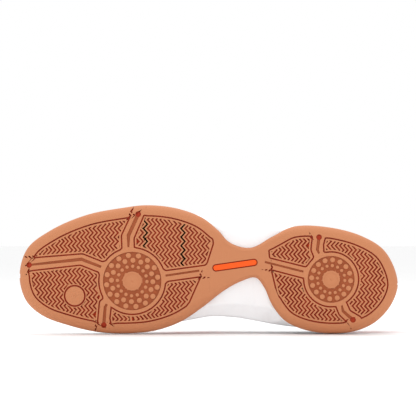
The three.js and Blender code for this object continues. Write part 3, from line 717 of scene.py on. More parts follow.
    def _zigzags(self) -> bmesh.types.BMesh:
        """The herringbone grooves over the whole sole, as long zigzag blocks."""
        bm = bmesh.new()
        half = self.zigzag_period / 2
        ys = np.arange(self.zigzag_phase - 9 * self.zigzag_period, 60, half)
        slope = math.hypot(half, self.zigzag_depth) / half
        profile = (
            (-self.groove_top, -1.0), (-self.groove_bottom, self.groove_depth),
            (self.groove_bottom, self.groove_depth), (self.groove_top, -1.0),
        )
        for x in np.arange(-142.83, 146, self.pitch):
            rows = []
            for k, y in enumerate(ys):
                centre = x - self.zigzag_depth / 2 * (1 if k % 2 == 0 else -1)
                rows.append([(centre + 0.5 * across * slope, y, up) for across, up in profile])
            self.sweep(bm, rows)
        return bm

    @staticmethod
    def sweep(bm: bmesh.types.BMesh, rows: Sequence[Sequence[Point3]]) -> None:
        """Join closed sections into one capped bar."""
        rings = [[bm.verts.new(p) for p in row] for row in rows]
        made = Outsole.join_rings(bm, rings)
        made += [bm.faces.new(rings[0]), bm.faces.new(rings[-1])]
        bmesh.ops.recalc_face_normals(bm, faces=made)

    @staticmethod
    def join_rings(
        bm: bmesh.types.BMesh, rings: Sequence[Sequence[bmesh.types.BMVert]]
    ) -> list[bmesh.types.BMFace]:
        """Fill between closed rings that have the same number of points, point to point."""
        return [
            bm.faces.new((a[i - 1], a[i], b[i], b[i - 1]))
            for a, b in zip(rings, rings[1:])
            for i in range(len(a))
        ]

    def _stadium(self, points: Sequence[Point3]) -> list[Point2]:
        """The outline of a bent slot with its width given at each point."""
        left, right = [], []
        for k, (x, y, width) in enumerate(points):
            before, after = points[max(k - 1, 0)], points[min(k + 1, len(points) - 1)]
            angle = math.atan2(after[1] - before[1], after[0] - before[0])
            dx, dy = -math.sin(angle) * width / 2, math.cos(angle) * width / 2
            left.append((x + dx, y + dy))
            right.append((x - dx, y - dy))
        return left + right[::-1]

    def _recesses(self) -> bmesh.types.BMesh:
        """The cutters of the shallow hollows: pivot floors, channels, toe disc and inlay seat."""
        depth = self.recess_depth
        cutters = []
        for pivot in (FORE_PIVOT, HEEL_PIVOT):
            floor = block(circle(pivot.centre, pivot.floor, 96), -1, depth)
            disc = block(circle(pivot.centre, pivot.disc), -2, depth + 1)
            cutters.append(boolean(floor, disc, "DIFFERENCE"))
            dish = circle(pivot.centre, pivot.disc - self.dish_rim)
            cutters.append(block(dish, -1, self.dish_depth))
        for points in self.channels:
            cutters.append(block(self._stadium(points), -1, self.channel_depth))
            x, y, width = points[0]
            if abs(x) > 50 and width > 1:
                cutters.append(block(circle((x, y), self.node_radius, 24), -1, depth))
        ring = block(circle(self.toe_disc, self.toe_ring + 1.3), -1, self.groove_depth)
        island = block(circle(self.toe_disc, self.toe_ring), -2, 5)
        cutters.append(boolean(ring, island, "DIFFERENCE"))
        cutters.append(block(self.bar_outline(self.inlay_width + 1.6), -1, self.seat_depth))
        cut = cutters[0]
        for cutter in cutters[1:]:
            cut = boolean(cut, cutter, "UNION")
        bmesh.ops.triangulate(cut, faces=cut.faces, ngon_method="EAR_CLIP")
        for axis, reach in ((0, 144), (1, 48)):
            slice_up(cut, axis, np.arange(-reach + 0.21, reach, 3.0))
        return cut

    def bar_outline(self, width: float) -> list[Point2]:
        """A round-ended bar along the inlay."""
        (x0, y0), (x1, y1) = self.inlay_from, self.inlay_to
        angle = math.atan2(y1 - y0, x1 - x0)
        points = []
        for cx, cy, start in ((x1, y1, angle - math.pi / 2), (x0, y0, angle + math.pi / 2)):
            for k in range(13):
                turn = start + math.pi * k / 12
                points.append((cx + width / 2 * math.cos(turn), cy + width / 2 * math.sin(turn)))
        return points

    def _blank(self) -> bmesh.types.BMesh:
        """The flat blank: rings that follow the outline, so that the rim can be rounded."""
        bm = bmesh.new()
        insets = (0.0, 0.25, 0.9, 1.9, 3.2, 4.8, 6.4, 8.0)
        normals = ring_normals(OUTLINE)
        loops = []
        for level, rings in ((self.thick, insets[:0:-1]), (0.0, insets)):
            for inset in rings:
                ring = OUTLINE - normals * inset * self._inset_scale()[:, None]
                loops.append([bm.verts.new((x, y, level)) for x, y in ring])
        self.join_rings(bm, loops)
        bm.faces.new(loops[0])
        bm.faces.new(loops[-1])
        bmesh.ops.triangulate(bm, faces=bm.faces)
        slice_up(bm, 0, np.arange(-145.63, 146, self.slice_step))
        bmesh.ops.recalc_face_normals(bm, faces=bm.faces)
        return bm

    def _inset_scale(self) -> np.ndarray:
        """How much narrower the rim is at the waist, for each point of the outline."""
        ratio = self.waist_rim_width / self.rim_width
        return np.array([mix(ratio, 1.0, SOLE.wrap(x)) for x in OUTLINE[:, 0]])

    def _shape(self, bm: bmesh.types.BMesh) -> None:
        """Bend the flat blank to the toe spring and arch, and round its rim."""
        bmesh.ops.triangulate(bm, faces=bm.faces, ngon_method="EAR_CLIP")
        slice_up(bm, 0, np.arange(-144, 146, self.slice_step))
        bmesh.ops.remove_doubles(bm, verts=bm.verts, dist=2e-4)
        gaps = [e for e in bm.edges if e.is_boundary]
        filled = bmesh.ops.holes_fill(bm, edges=gaps)["faces"]
        bmesh.ops.triangulate(bm, faces=filled, ngon_method="EAR_CLIP")
        LOG.info("tread: %d open edges closed", len(gaps))
        # There are no overhangs, so all groove and recess floors face down.
        for face in bm.faces:
            if face.normal.z > 0.5 and face.calc_center_median().z < self.thick - 0.5:
                face.normal_flip()
        plan = np.array([(v.co.x, v.co.y) for v in bm.verts])
        distance = ring_distance(OUTLINE, plan)
        for vert, near in zip(bm.verts, distance):
            x, z = vert.co.x, vert.co.z
            blend = SOLE.wrap(x)
            width = mix(self.waist_rim_width, self.rim_width, blend)
            height = mix(self.waist_rim_height, self.rim_height, blend)
            share = max(0.0, 1 - near / width)
            under = height * (1 - math.sqrt(max(0.0, 1 - share**2)))
            lip = mix(1.2, self.lip, blend)
            rise = (height - self.thick) * min(1.0, max(0.0, (width - near) / (width - lip)))
            top = min(rise, height - self.thick) + self.thick
            vert.co.z = SOLE.ground(x) + mix(under, top, min(1.0, z / self.thick))

    def _nubs(self) -> bmesh.types.BMesh:
        """Round-topped nubs, low centre dots and the domes in the pivots."""
        bm = bmesh.new()
        for pivot in (FORE_PIVOT, HEEL_PIVOT):
            for radius, nub, turn in pivot.rings:
                for k in range(pivot.nubs):
                    x, y = pivot.polar(radius, turn + 360 * k / pivot.nubs)
                    self._nub(bm, x, y, nub, 0.0)
            self._nub(bm, *pivot.centre, 0.75, 0.0)
        self._nub(bm, *self.toe_disc, 0.7, -0.35)
        return bm

    def _nub(self, bm: bmesh.types.BMesh, x: float, y: float, radius: float, top: float) -> None:
        """One nub that stands on a recess floor, its crown rounded towards the ground."""
        rings = ((1.0, 1.3), (1.0, 0.55), (0.94, 0.28), (0.78, 0.1), (0.5, 0.0))
        rows = []
        for share, z in rings:
            rows.append(
                [
                    (x + radius * share * math.cos(a), y + radius * share * math.sin(a), z + top)
                    for a in np.linspace(0, 2 * math.pi, 20, endpoint=False)
                ]
            )
        self.sweep(bm, rows)

    def build(self) -> None:
        """Make the outsole and its inlay."""
        grooves, fields = self._borders_and_fields()
        disc = block(circle(self.toe_disc, self.toe_clear), -3, 5)
        fields = boolean(fields, disc, "DIFFERENCE")
        comb = boolean(self._zigzags(), fields, "INTERSECT")
        inside = block(OUTLINE - ring_normals(OUTLINE) * (self.rim_width - 0.7), -3, 6)
        grooves = boolean(grooves, inside, "INTERSECT")
        sole = boolean(self._blank(), self._recesses(), "DIFFERENCE")
        sole = boolean(sole, self._nubs(), "UNION")
        sole = boolean(sole, grooves, "DIFFERENCE")
        sole = boolean(sole, comb, "DIFFERENCE")
        LOG.info("tread cut: %d faces", len(sole.faces))
        # Groove walls and floors, and recess floors, get gum that is painted darker as shade.
        for face in sole.faces:
            height = face.calc_center_median().z
            face.material_index = self._painted_shade_slot(face, height)
        self._shape(sole)
        flat = [abs(f.normal.z) > 0.9 and len(f.verts) < 6 for f in sole.faces]
        piece = new_piece("outsole_rubber", sole)
        near = ring_distance(OUTLINE, np.array([p.center[:2] for p in piece.data.polygons]) / MM)
        smooth_faces = [not (level and away > 7.0) for level, away in zip(flat, near)]
        piece.data.polygons.foreach_set("use_smooth", smooth_faces)
        # Slot 1 is gum painted darker as shade in the grooves, and slot 2 is gum painted darker as shade
        # on recess floors.
        dress(piece, Finishes.GUM, Finishes.GUM_GROOVE, Finishes.GUM_PAINTED_RECESS_SHADE)
        self._shade_edges(piece)
        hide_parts("outsole")
        self._build_inlay()

    def _painted_shade_slot(self, face: bmesh.types.BMFace, height: float) -> int:
        """0 for plain rubber, 1 for the walls and floors of grooves and 2 for recess floors, both painted
        darker as shade.
        """
        if height < 0.03 or height > self.thick - 0.5:
            return 0
        x, y, _ = face.calc_center_median()
        for pivot in (FORE_PIVOT, HEEL_PIVOT):
            away = math.dist((x, y), pivot.centre)
            if away < pivot.disc + 0.4:
                return 0
            if away < pivot.floor + 0.2:
                return 2 if abs(face.normal.z) > 0.9 and height > self.recess_depth - 0.05 else 0
        if math.dist((x, y), self.toe_disc) < 7:
            return 0
        if abs(height - self.channel_depth) < 0.03 and abs(face.normal.z) > 0.9:
            return 2
        return 1 if height > 0.3 else 0

    @staticmethod
    def _shade_edges(piece: bpy.types.Object) -> None:
        """Keep groove edges crisp while the rim stays smooth."""
        piece.data.set_sharp_from_angle(angle=math.radians(32))

    def _build_inlay(self) -> None:
        """The plain orange bar set into the waist."""
        bm = block(self.bar_outline(self.inlay_width), 0.15, 1.15)
        under = [f for f in bm.faces if f.normal.z < -0.5]
        bmesh.ops.recalc_face_normals(bm, faces=bm.faces)
        bmesh.ops.bevel(
            bm, geom=[e for f in under for e in f.edges], affect="EDGES", offset=0.3, segments=3,
            profile=0.5, material=-1,
        )
        for vert in bm.verts:
            vert.co.z += SOLE.ground(vert.co.x)
        piece = new_piece("orange_inlay", bm)
        dress(piece, Finishes.INLAY)
        self._shade_edges(piece)
        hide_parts("outsole_inlay")


# ---- the last: one smooth surface that every layer of the upper follows ----------------------


class Last:
    """The foot-shaped surface, coarse as the frame has it and fine as it is shown."""

    AROUND = 38
    UPWARDS = 7
    FINER = 6
    ASIDE = 160
    ABOVE = 220
    FEATHER = (
        (138.5, -6), (134, 9), (122, 20.5), (95, 32.3), (67, 38), (48, 40), (25, 38), (5, 33.5),
        (-15, 30), (-35, 27.5), (-59, 25.3), (-85, 24.2), (-110, 19.8), (-128, 9), (-137.5, -9.5),
        (-133, -22), (-123, -32.5), (-108, -38.5), (-82, -39.4), (-59, -36), (-38, -32), (-15, -28.8),
        (5, -30), (25, -36), (45, -39.4), (65, -40.4), (90, -38.8), (113, -33.3), (130, -22.5),
    )
    RIDGE = (
        (116, -5, 43), (95, -3, 48), (75, -1, 54), (55, 0, 61.5), (35, 0, 71), (15, -1, 83),
        (-5, -2, 97), (-22, -3, 110), (-45, -4, 120), (-75, -6, 121), (-104, -8, 112),
    )
    COLLAR = (
        (60, 96), (12, 93), (0, 87), (-18, 79.5), (-38, 74), (-60, 72), (-88, 75), (-112, 84),
        (-128, 92.5), (-160, 97),
    )

    def __init__(self) -> None:
        """Lay out the fine surface, its normals, and the coarse one that it stands in for."""
        self.ridge = spline(self.RIDGE, 600)[::-1]
        feather = spline(self.FEATHER, 600, closed=True)
        low, high = feather[:, 0].min() + 0.02, feather[:, 0].max() - 0.02
        count = self.AROUND * self.FINER
        columns = []
        for k in range(count):
            x = (low + high) / 2 + (high - low) / 2 * math.cos(2 * math.pi * k / count)
            y = span_at(feather, x)[1 if 2 * k < count else 0]
            columns.append(self._meridian(np.array([x, y, SOLE.floor(x) + 0.3])))
        self.points = np.array(columns)
        self.normals = self._normals()
        self._coarse_tree()
        self.fine_tree = self._tree(self.points)[0]

    def ridge_at(self, x: float) -> np.ndarray:
        """The ridge point shared by both sides above a place on the feather line."""
        target = mix(self.RIDGE[-1][0], self.RIDGE[0][0], min(1.0, max(0.0, (x + 138) / 276)))
        return np.array([np.interp(target, self.ridge[:, 0], self.ridge[:, i]) for i in range(3)])

    def ridge_y(self, x: float) -> float:
        """Sideways place of the ridge at x."""
        return float(np.interp(x, self.ridge[:, 0], self.ridge[:, 1]))

    def _meridian(self, foot: np.ndarray) -> np.ndarray:
        """One curve from the feather line up to the ridge."""
        ridge = self.ridge_at(foot[0])
        away = foot - ridge
        away[2] = 0
        reach = np.linalg.norm(away)
        away = away / reach
        hold = mix(0.92, 0.6, smooth(-60, 30, foot[0]))
        knee = foot + away * 4 + np.array([0, 0, 0.5 * (ridge[2] - foot[2])])
        top = ridge + away * hold * reach
        t = np.linspace(0, 1, self.UPWARDS * self.FINER + 1)[:, None]
        return (1 - t) ** 3 * foot + 3 * t * (1 - t) ** 2 * knee + 3 * t**2 * (1 - t) * top + t**3 * ridge

    def _normals(self) -> np.ndarray:
        """Outward normals of the fine surface."""
        along = np.roll(self.points, -1, axis=0) - np.roll(self.points, 1, axis=0)
        up = np.gradient(self.points, axis=1)
        out = np.cross(along, up)
        for k in range(len(out)):
            x = self.points[k, 0, 0]
            tangent = self.ridge_at(x + 6) - self.ridge_at(x - 6)
            out[k, -1] = (-tangent[2], 0, tangent[0])
        return out / np.linalg.norm(out, axis=2, keepdims=True)

    @staticmethod
    def _tree(grid: np.ndarray) -> tuple[BVHTree, list[tuple[int, int, int]], np.ndarray]:
        """A search tree over a closed grid, with its triangles and corner places."""
        around, rows = grid.shape[:2]
        corners = np.array([(k, j) for k in range(around + 1) for j in range(rows)], float)
        points = [tuple(grid[int(k) % around, int(j)]) for k, j in corners]
        triangles = []
        for k in range(around):
            for j in range(rows - 1):
                a, b = k * rows + j, (k + 1) * rows + j
                triangles += [(a, b, b + 1), (a, b + 1, a + 1)]
        return BVHTree.FromPolygons(points, triangles), triangles, corners

    def _coarse_tree(self) -> None:
        """The search tree of the coarse surface."""
        coarse = self.points[:: self.FINER, :: self.FINER]
        self.coarse_points = coarse
        self.tree, self.triangles, self.corners = self._tree(coarse)

    def read(self, k: float, j: float) -> tuple[np.ndarray, np.ndarray]:
        """Point and normal of the fine surface at a place on the coarse grid."""
        u, v = k * self.FINER, min(j * self.FINER, self.UPWARDS * self.FINER - 1e-6)
        count = len(self.points)
        k0, j0 = int(math.floor(u)), int(math.floor(v))
        fu, fv = u - k0, v - j0
        out = []
        for grid in (self.points, self.normals):
            a = mix(grid[k0 % count, j0], grid[(k0 + 1) % count, j0], fu)
            b = mix(grid[k0 % count, j0 + 1], grid[(k0 + 1) % count, j0 + 1], fu)
            out.append(mix(a, b, fv))
        return out[0], out[1] / np.linalg.norm(out[1])

    def relay(self, point: Vector) -> Vector:
        """Move a point of a coarse layer to the same layer on the fine surface."""
        near, _, index, _ = self.tree.find_nearest(point)
        ids = self.triangles[index]
        grid = self.coarse_points
        corners = [self.corners[i] for i in ids]
        a, b, c = (Vector(grid[int(k) % self.AROUND, int(j)]) for k, j in corners)
        ab, ac, ap = b - a, c - a, near - a
        d00, d01, d11 = ab.dot(ab), ab.dot(ac), ac.dot(ac)
        d20, d21 = ap.dot(ab), ap.dot(ac)
        det = d00 * d11 - d01 * d01 or 1e-9
        v, w = (d11 * d20 - d01 * d21) / det, (d00 * d21 - d01 * d20) / det
        k, j = (1 - v - w) * corners[0] + v * corners[1] + w * corners[2]
        base, normal = self.read(k, j)
        outward = (point - near).dot(Vector(normal))
        if j <= 0.001:
            return Vector(base) + (point - near)
        return Vector(base + normal * outward)

    def hit(self, origin: Sequence[float], direction: Sequence[float]) -> tuple[Vector, Vector] | None:
        """Where a line first meets the fine surface, with the outward normal there."""
        place, normal, _, _ = self.fine_tree.ray_cast(Vector(origin), Vector(direction))
        if place is None:
            return None
        return place, (-normal if normal.dot(Vector(direction)) > 0 else normal)


# ---- the upper ------------------------------------------------------------------------------


def copy_nodes(*names: str) -> bmesh.types.BMesh:
    """A bmesh in millimetres with the shapes of some nodes of the frame."""
    bm = bmesh.new()
    for name in names:
        bm.from_mesh(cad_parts[name].data)
    bmesh.ops.transform(bm, matrix=Matrix.Scale(1 / MM, 4), verts=bm.verts)
    bmesh.ops.remove_doubles(bm, verts=bm.verts, dist=1e-3)
    return bm


def soften(piece: bpy.types.Object, voxel: float, passes: int) -> None:
    """Round a piece over as a soft closed form.

    Args:
        piece: The piece to work on.
        voxel: Size of the new mesh's cells, in millimetres.
        passes: How often the surface is relaxed.
    """
    apply_modifier(piece, "REMESH", mode="VOXEL", voxel_size=voxel * MM, use_smooth_shade=True)
    apply_modifier(piece, "SMOOTH", factor=0.5, iterations=passes)
    piece.data.polygons.foreach_set("use_smooth", [True] * len(piece.data.polygons))


@dataclass
class Panel:
    """A flat-cut layer of the upper: leather or lining laid over the last.

    Attributes:
        node: The node of the frame that it stands for.
        finish: Its finish.
        slot: Its material slot. Not used.
        step: Spacing of the finer mesh, in millimetres.
    """

    node: str
    finish: Finishes
    slot: str
    step: float = 5.0

    def build(self, last: Last) -> bpy.types.Object:
        """Make the panel."""
        bm = copy_nodes(self.node)
        bmesh.ops.triangulate(bm, faces=bm.faces)
        for axis in (0, 2):
            values = [v.co[axis] for v in bm.verts]
            levels = np.arange(min(values) + self.step, max(values), self.step)
            slice_up(bm, axis, levels, snap=1e-3)
        bmesh.ops.remove_doubles(bm, verts=bm.verts, dist=2e-3)
        for vert in bm.verts:
            vert.co = last.relay(vert.co)
        piece = new_piece(f"{self.node}_panel", bm)
        piece.data.set_sharp_from_angle(angle=math.radians(38))
        dress(piece, self.finish)
        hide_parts(self.node)
        return piece


@dataclass
class SoftPart:
    """A soft or moulded piece with rounded edges.

    Attributes:
        name: The piece's name.
        nodes: The nodes of the frame that it stands for.
        finish: Its finish.
        slot: Its material slot. Not used.
        voxel: Size of its mesh's cells, in millimetres.
        passes: How far it is relaxed.
        body: What it moves with.
        fill: How full it is padded, or None if it isn't padded. Not used.
    """

    name: str
    nodes: tuple[str, ...]
    finish: Finishes
    slot: str
    voxel: float = 1.1
    passes: int = 4
    body: Body = Body.SHOE
    fill: float | None = None

    def build(self) -> bpy.types.Object:
        """Make the piece."""
        bm = copy_nodes(*self.nodes)
        piece = new_piece(self.name, bm, self.body)
        soften(piece, self.voxel, self.passes)
        dress(piece, self.finish)
        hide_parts(*self.nodes)
        return piece


@dataclass
class Collar:
    """The padded roll of lining cloth around the ankle opening."""

    outer: float = 3.3
    inner: float = -4.4
    crown: float = 3.2
    drop: float = 3.0
    count: int = 120
    sides: int = 20

    def build(self, last: Last) -> None:
        """Sweep the roll along the collar line, round the heel from side to side."""
        half = len(last.points) // 2
        spots = np.linspace(half - 0.43 * half, half + 0.43 * half, self.count)
        bm = bmesh.new()
        rows = []
        for spot in spots:
            base, normal, rise = self._edge(last, spot)
            depth = mix(-0.4, self.inner, smooth(-2, -30, base[0]))
            centre = base + normal * (self.outer + depth) / 2
            reach = (self.outer - depth) / 2
            row = []
            for angle in np.linspace(0, 2 * math.pi, self.sides, endpoint=False):
                up = self.crown if math.sin(angle) > 0 else self.drop
                row.append(centre + normal * reach * math.cos(angle) + rise * up * math.sin(angle))
            rows.append(row)
        Outsole.sweep(bm, rows)
        piece = new_piece("collar_roll", bm)
        dress(piece, Finishes.LINING)
        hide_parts("collar_padding")

    @staticmethod
    def _edge(last: Last, spot: float) -> tuple[np.ndarray, np.ndarray, np.ndarray]:
        """The collar line on one meridian: its point, the outward way and the upward way."""
        low, high = 0.0, float(last.UPWARDS)
        for _ in range(24):
            middle = (low + high) / 2
            point, _ = last.read(spot / last.FINER, middle)
            below = point[2] < line_at(last.COLLAR, point[0])
            low, high = (middle, high) if below else (low, middle)
        point, normal = last.read(spot / last.FINER, low)
        under, _ = last.read(spot / last.FINER, max(0.0, low - 0.3))
        rise = (point - under) / np.linalg.norm(point - under)
        return point, normal, rise


@dataclass
class Stitching:
    """Rows of raised stitches along the edges of the panels."""

    pitch: float = 3.0
    length: float = 2.1
    width: float = 0.62
    out: float = 4.42

    def _row(self, bm: bmesh.types.BMesh, spots: list[tuple[Vector, Vector]]) -> None:
        """Lay stitches end to end along a run of places on the last."""
        run = 0.0
        for (a, na), (b, _) in zip(spots, spots[1:]):
            along = b - a
            run += along.length
            if run < self.pitch or along.length > 8:
                continue
            run = 0.0
            along.normalize()
            across = na.cross(along).normalized()
            turn = Matrix((along, across, na)).transposed().to_4x4()
            size = Matrix.Diagonal((self.length / 2, self.width / 2, self.width / 2.6, 1))
            place = Matrix.Translation(a + na * self.out)
            bmesh.ops.create_uvsphere(
                bm, u_segments=6, v_segments=4, radius=1, matrix=place @ turn @ size
            )

    def _side(self, last: Last, side: Side, line: Sequence[Point2]) -> list[tuple[Vector, Vector]]:
        """Places under a line drawn on the side view."""
        spots = [
            last.hit((x, last.ASIDE * side.value, z), (0, -side.value, 0))
            for x, z in self._dense(line)
        ]
        return [spot for spot in spots if spot]

    @staticmethod
    def _dense(line: Sequence[Point2]) -> np.ndarray:
        """A broken line with points about 0.6 mm apart."""
        points = np.array(line, float)
        lengths = np.linalg.norm(np.diff(points, axis=0), axis=1)
        at = np.concatenate([[0], np.cumsum(lengths)])
        where = np.arange(0, at[-1], 0.6)
        return np.stack([np.interp(where, at, points[:, i]) for i in range(2)], axis=1)

    def build(self, last: Last) -> None:
        """Make every row of stitches."""
        bm = bmesh.new()
        for side in Side:
            for inset in (2.0, 4.4):
                self._row(bm, self._side(last, side, [
                    (84, 28 + inset), (104, 34 + inset), (119, 44 + inset),
                ]))
                self._row(bm, self._side(last, side, [
                    (-104.5 - inset, 33), (-104.5 - inset, 42 - inset), (-112 - inset, 54 - inset),
                    (-122 - inset, 66 - inset),
                ]))
            self._row(bm, self._side(last, side, [
                (-98, 36.5), (-60, 32), (-10, 25.5), (30, 24), (60, 23.5),
            ]))
            self._row(bm, self._side(last, side, [(-12, 34), (-7.2, 60), (-2, 72)]))
            self._row(bm, self._side(last, side, [(38, 34), (35, 56)]))
            for grow in (1.8, 11.4):
                self._row(bm, self._throat(last, side, grow))
        piece = new_piece("stitching", bm)
        dress(piece, Finishes.THREAD)

    def _throat(self, last: Last, side: Side, grow: float) -> list[tuple[Vector, Vector]]:
        """Places beside the lacing, seen from above."""
        spots = []
        for x in np.arange(78, 8, -0.6):
            half = mix(15, 20, min(1.0, max(0.0, (78 - x) / 70))) + grow
            spot = last.hit((x, last.ridge_y(x) + side.value * half, last.ABOVE), (0, 0, -1))
            if spot:
                spots.append(spot)
        return spots


@dataclass
class Lacing:
    """The lace, in two halves that stretch from the eyelets to the tongue, and its gussets.

    Attributes:
        eyelet_y: Not used; where the lace would start to follow the tongue, out from the middle, in
            metres.
        centre_y: Not used; where the lace would follow the tongue in full, in metres.
        gusset_outer: Not used; where the gusset would start to follow the tongue, in metres.
        gusset_inner: Not used; where the gusset would follow the tongue in full, in metres.
    """

    eyelet_y: float = 0.0215
    centre_y: float = 0.004
    gusset_outer: float = 0.026
    gusset_inner: float = 0.0145

    def build(self, last: Last) -> None:
        """Make the lace, its plastic tips and the gussets under it."""
        for side in Side:
            self._half(side)
            self._gusset(last, side)
            node = f"aglet_{side.name.lower()}"
            piece = new_piece(f"{node}_tip", copy_nodes(node))
            soften(piece, 0.4, 3)
            dress(piece, Finishes.PLASTIC)
            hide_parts(node)

    def _half(self, side: Side) -> None:
        """The lace on one side of the shoe."""
        name = f"lace_{side.name.lower()}"
        piece = new_piece(name, copy_nodes("lace"))
        soften(piece, 0.42, 6)
        bm = bmesh.new()
        bm.from_mesh(piece.data)
        geometry = [*bm.verts, *bm.edges, *bm.faces]
        bmesh.ops.bisect_plane(
            bm, geom=geometry, dist=1e-7, plane_co=(0, -0.0008, 0), plane_no=(0, -side.value, 0),
            clear_outer=True,
        )
        bmesh.ops.holes_fill(bm, edges=[e for e in bm.edges if e.is_boundary])
        bm.to_mesh(piece.data)
        bm.free()
        dress(piece, Finishes.LACE)
        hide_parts("lace")
        piece.parent = None
        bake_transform(piece)

    def _gusset(self, last: Last, side: Side) -> None:
        """The thin cloth between the tongue and the side of the shoe."""
        node = f"tongue_gusset_{side.name.lower()}"
        piece = Panel(node, Finishes.LINING, "gusset_cloth", step=3.0).build(last)
        piece.parent = None
        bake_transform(piece)


@dataclass
class TongueBase:
    """The cloth that joins the front of the tongue to the inside of the vamp."""

    front: float = 97.0
    back: float = 77.2
    half: float = 17.5
    depth: float = -1.1
    thick: float = 1.0

    def build(self, last: Last) -> None:
        """Lay a thin curved sheet under the front end of the throat."""
        bm = bmesh.new()
        bmesh.ops.create_grid(bm, x_segments=28, y_segments=36, size=0.5)
        for vert in bm.verts:
            x = mix(self.back, self.front, vert.co.x + 0.5)
            y = last.ridge_y(x) + 2 * vert.co.y * self.half
            spot = last.hit((x, y, last.ABOVE), (0, 0, -1))
            if spot:
                vert.co = spot[0] + spot[1] * self.depth
        piece = new_piece("tongue_base", bm)
        apply_modifier(piece, "SOLIDIFY", thickness=self.thick * MM, offset=0.0)
        dress(piece, Finishes.TONGUE_FACE)


class Upper:
    """Every layer above the sole."""

    def build(self) -> None:
        """Make the linings, panels, soft pieces, lace and stitching."""
        last = Last()
        for node, finish, slot in (
            ("vamp_lining", Finishes.LINING, "lining_cloth"),
            ("quarter_lining", Finishes.LINING, "lining_cloth"),
            ("vamp", Finishes.WHITE, "white_leather"),
            ("quarter_lateral", Finishes.WHITE, "white_leather"),
            ("quarter_medial", Finishes.WHITE, "white_leather"),
            ("toe_cap", Finishes.WHITE, "white_leather"),
            ("heel_overlay", Finishes.RED, "red_leather"),
            ("eyestay_lateral", Finishes.WHITE, "white_leather"),
            ("eyestay_medial", Finishes.WHITE, "white_leather"),
            ("saddle_lateral", Finishes.RED, "red_leather"),
            ("saddle_medial", Finishes.RED, "red_leather"),
            ("base_band_lateral", Finishes.RED, "red_leather"),
            ("base_band_medial", Finishes.RED, "red_leather"),
        ):
            Panel(node, finish, slot).build(last)
        for part in (
            SoftPart("midsole_unit", ("midsole",), Finishes.MIDSOLE, "midsole_foam", 1.1, 4),
            SoftPart("sockliner_pad", ("sockliner",), Finishes.SOCK, "sockliner_cloth", 1.0, 4,
                     Body.SOCKLINER, 0.5),
            SoftPart("tongue_pad", ("tongue", "tongue_foam", "tongue_lining"), Finishes.TONGUE_FACE,
                     "lining_cloth", 0.8, 6, Body.TONGUE, 0.6),
            SoftPart("tongue_patch", ("tongue_label",), Finishes.RED, "label", 0.35, 3, Body.TONGUE),
            SoftPart("heel_pull", ("heel_loop",), Finishes.WEBBING, "webbing", 0.5, 3),
        ):
            part.build()
        Collar().build(last)
        Lacing().build(last)
        TongueBase().build(last)
        Stitching().build(last)
        self._hidden_nodes()

    @staticmethod
    def _hidden_nodes() -> None:
        """Finish the stiff pieces that stay as the frame has them, between the layers."""
        for node, finish in (
            ("shank", Finishes.DARK),
            ("strobel_board", Finishes.FOAM),
            ("toe_puff", Finishes.FOAM),
            ("heel_counter", Finishes.FOAM),
        ):
            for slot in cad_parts[node].material_slots:
                slot.material = finish.material()


# ---- stage ----------------------------------------------------------------------------------


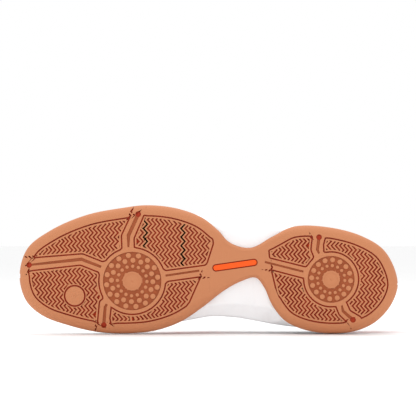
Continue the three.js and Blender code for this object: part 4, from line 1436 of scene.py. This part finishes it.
@dataclass
class Stage:
    """The camera, soft lights and the pale floor that the shoe lies on, inner side down."""

    distance: float = 2.6
    centre: Point2 = (0.0002, 0.0478)
    seen_width: float = 0.3236

    def build(self) -> None:
        """Make everything that isn't part of the shoe."""
        self._camera()
        self._lights()
        self._floor()

    def _camera(self) -> None:
        """A long lens below the sole, with the toe on the left and the outer side up."""
        data = bpy.data.cameras.new("camera")
        data.sensor_width = 36
        data.lens = 36 * self.distance / self.seen_width
        data.clip_end = 30
        camera = bpy.data.objects.new("camera", data)
        bpy.context.scene.collection.objects.link(camera)
        rows = Matrix(((-1, 0, 0), (0, 1, 0), (0, 0, -1)))
        camera.matrix_world = Matrix.Translation((*self.centre, -self.distance)) @ rows.to_4x4()
        bpy.context.scene.camera = camera

    @staticmethod
    def _area(name: str, place: Point3, target: Point3, size: float, power: float) -> None:
        """One square soft light that faces a target."""
        data = bpy.data.lights.new(name, "AREA")
        data.size = size
        data.energy = power
        light = bpy.data.objects.new(name, data)
        bpy.context.scene.collection.objects.link(light)
        light.location = place
        light.rotation_euler = (Vector(target) - Vector(place)).to_track_quat("-Z", "Y").to_euler()

    def _lights(self) -> None:
        """A large light over the outer side, a fill by the sole and one over the upper."""
        world = bpy.data.worlds.new("studio")
        world.use_nodes = True
        background = world.node_tree.nodes["Background"]
        background.inputs["Color"].default_value = (1, 1, 1, 1)
        background.inputs["Strength"].default_value = 1.0
        bpy.context.scene.world = world
        bpy.context.scene.view_settings.view_transform = "Standard"
        self._area("key", (0.1, 1.25, 0.5), (0, 0, 0.03), 0.9, 6)
        self._area("rim", (0.15, 1.1, -0.6), (0, 0, 0), 0.8, 2.0)
        self._area("over_upper", (-0.4, 0.5, 1.2), (0, 0, 0.04), 1.0, 2)

    def _floor(self) -> None:
        """The surface under the inner side. It shows only from above, so it blocks no view."""
        bm = bmesh.new()
        bmesh.ops.create_grid(bm, x_segments=1, y_segments=1, size=6)
        bmesh.ops.rotate(bm, cent=(0, 0, 0), matrix=Matrix.Rotation(-math.pi / 2, 3, "X"), verts=bm.verts)
        bmesh.ops.translate(bm, vec=(0, CAD_BOX[0][1] - 0.0006, 0), verts=bm.verts)
        mesh = bpy.data.meshes.new("studio_floor")
        bm.to_mesh(mesh)
        bm.free()
        floor = bpy.data.objects.new("studio_floor", mesh)
        bpy.context.scene.collection.objects.link(floor)
        material = bpy.data.materials.new("studio_white")
        material.use_nodes = True
        nodes, links = material.node_tree.nodes, material.node_tree.links
        paper = nodes["Principled BSDF"]
        paper.inputs["Base Color"].default_value = (0.95, 0.95, 0.95, 1)
        paper.inputs["Roughness"].default_value = 0.9
        clear = nodes.new("ShaderNodeBsdfTransparent")
        choose = nodes.new("ShaderNodeMixShader")
        links.new(nodes.new("ShaderNodeNewGeometry").outputs["Backfacing"], choose.inputs["Fac"])
        links.new(paper.outputs["BSDF"], choose.inputs[1])
        links.new(clear.outputs["BSDF"], choose.inputs[2])
        links.new(choose.outputs["Shader"], nodes["Material Output"].inputs["Surface"])
        mesh.materials.append(material)


def main() -> None:
    """Build the shoe piece by piece, then the stage around it."""
    logging.basicConfig(level=logging.INFO, format="%(name)s %(message)s")
    Outsole().build()
    Upper().build()
    Stage().build()


if __name__ == "__main__":
    main()
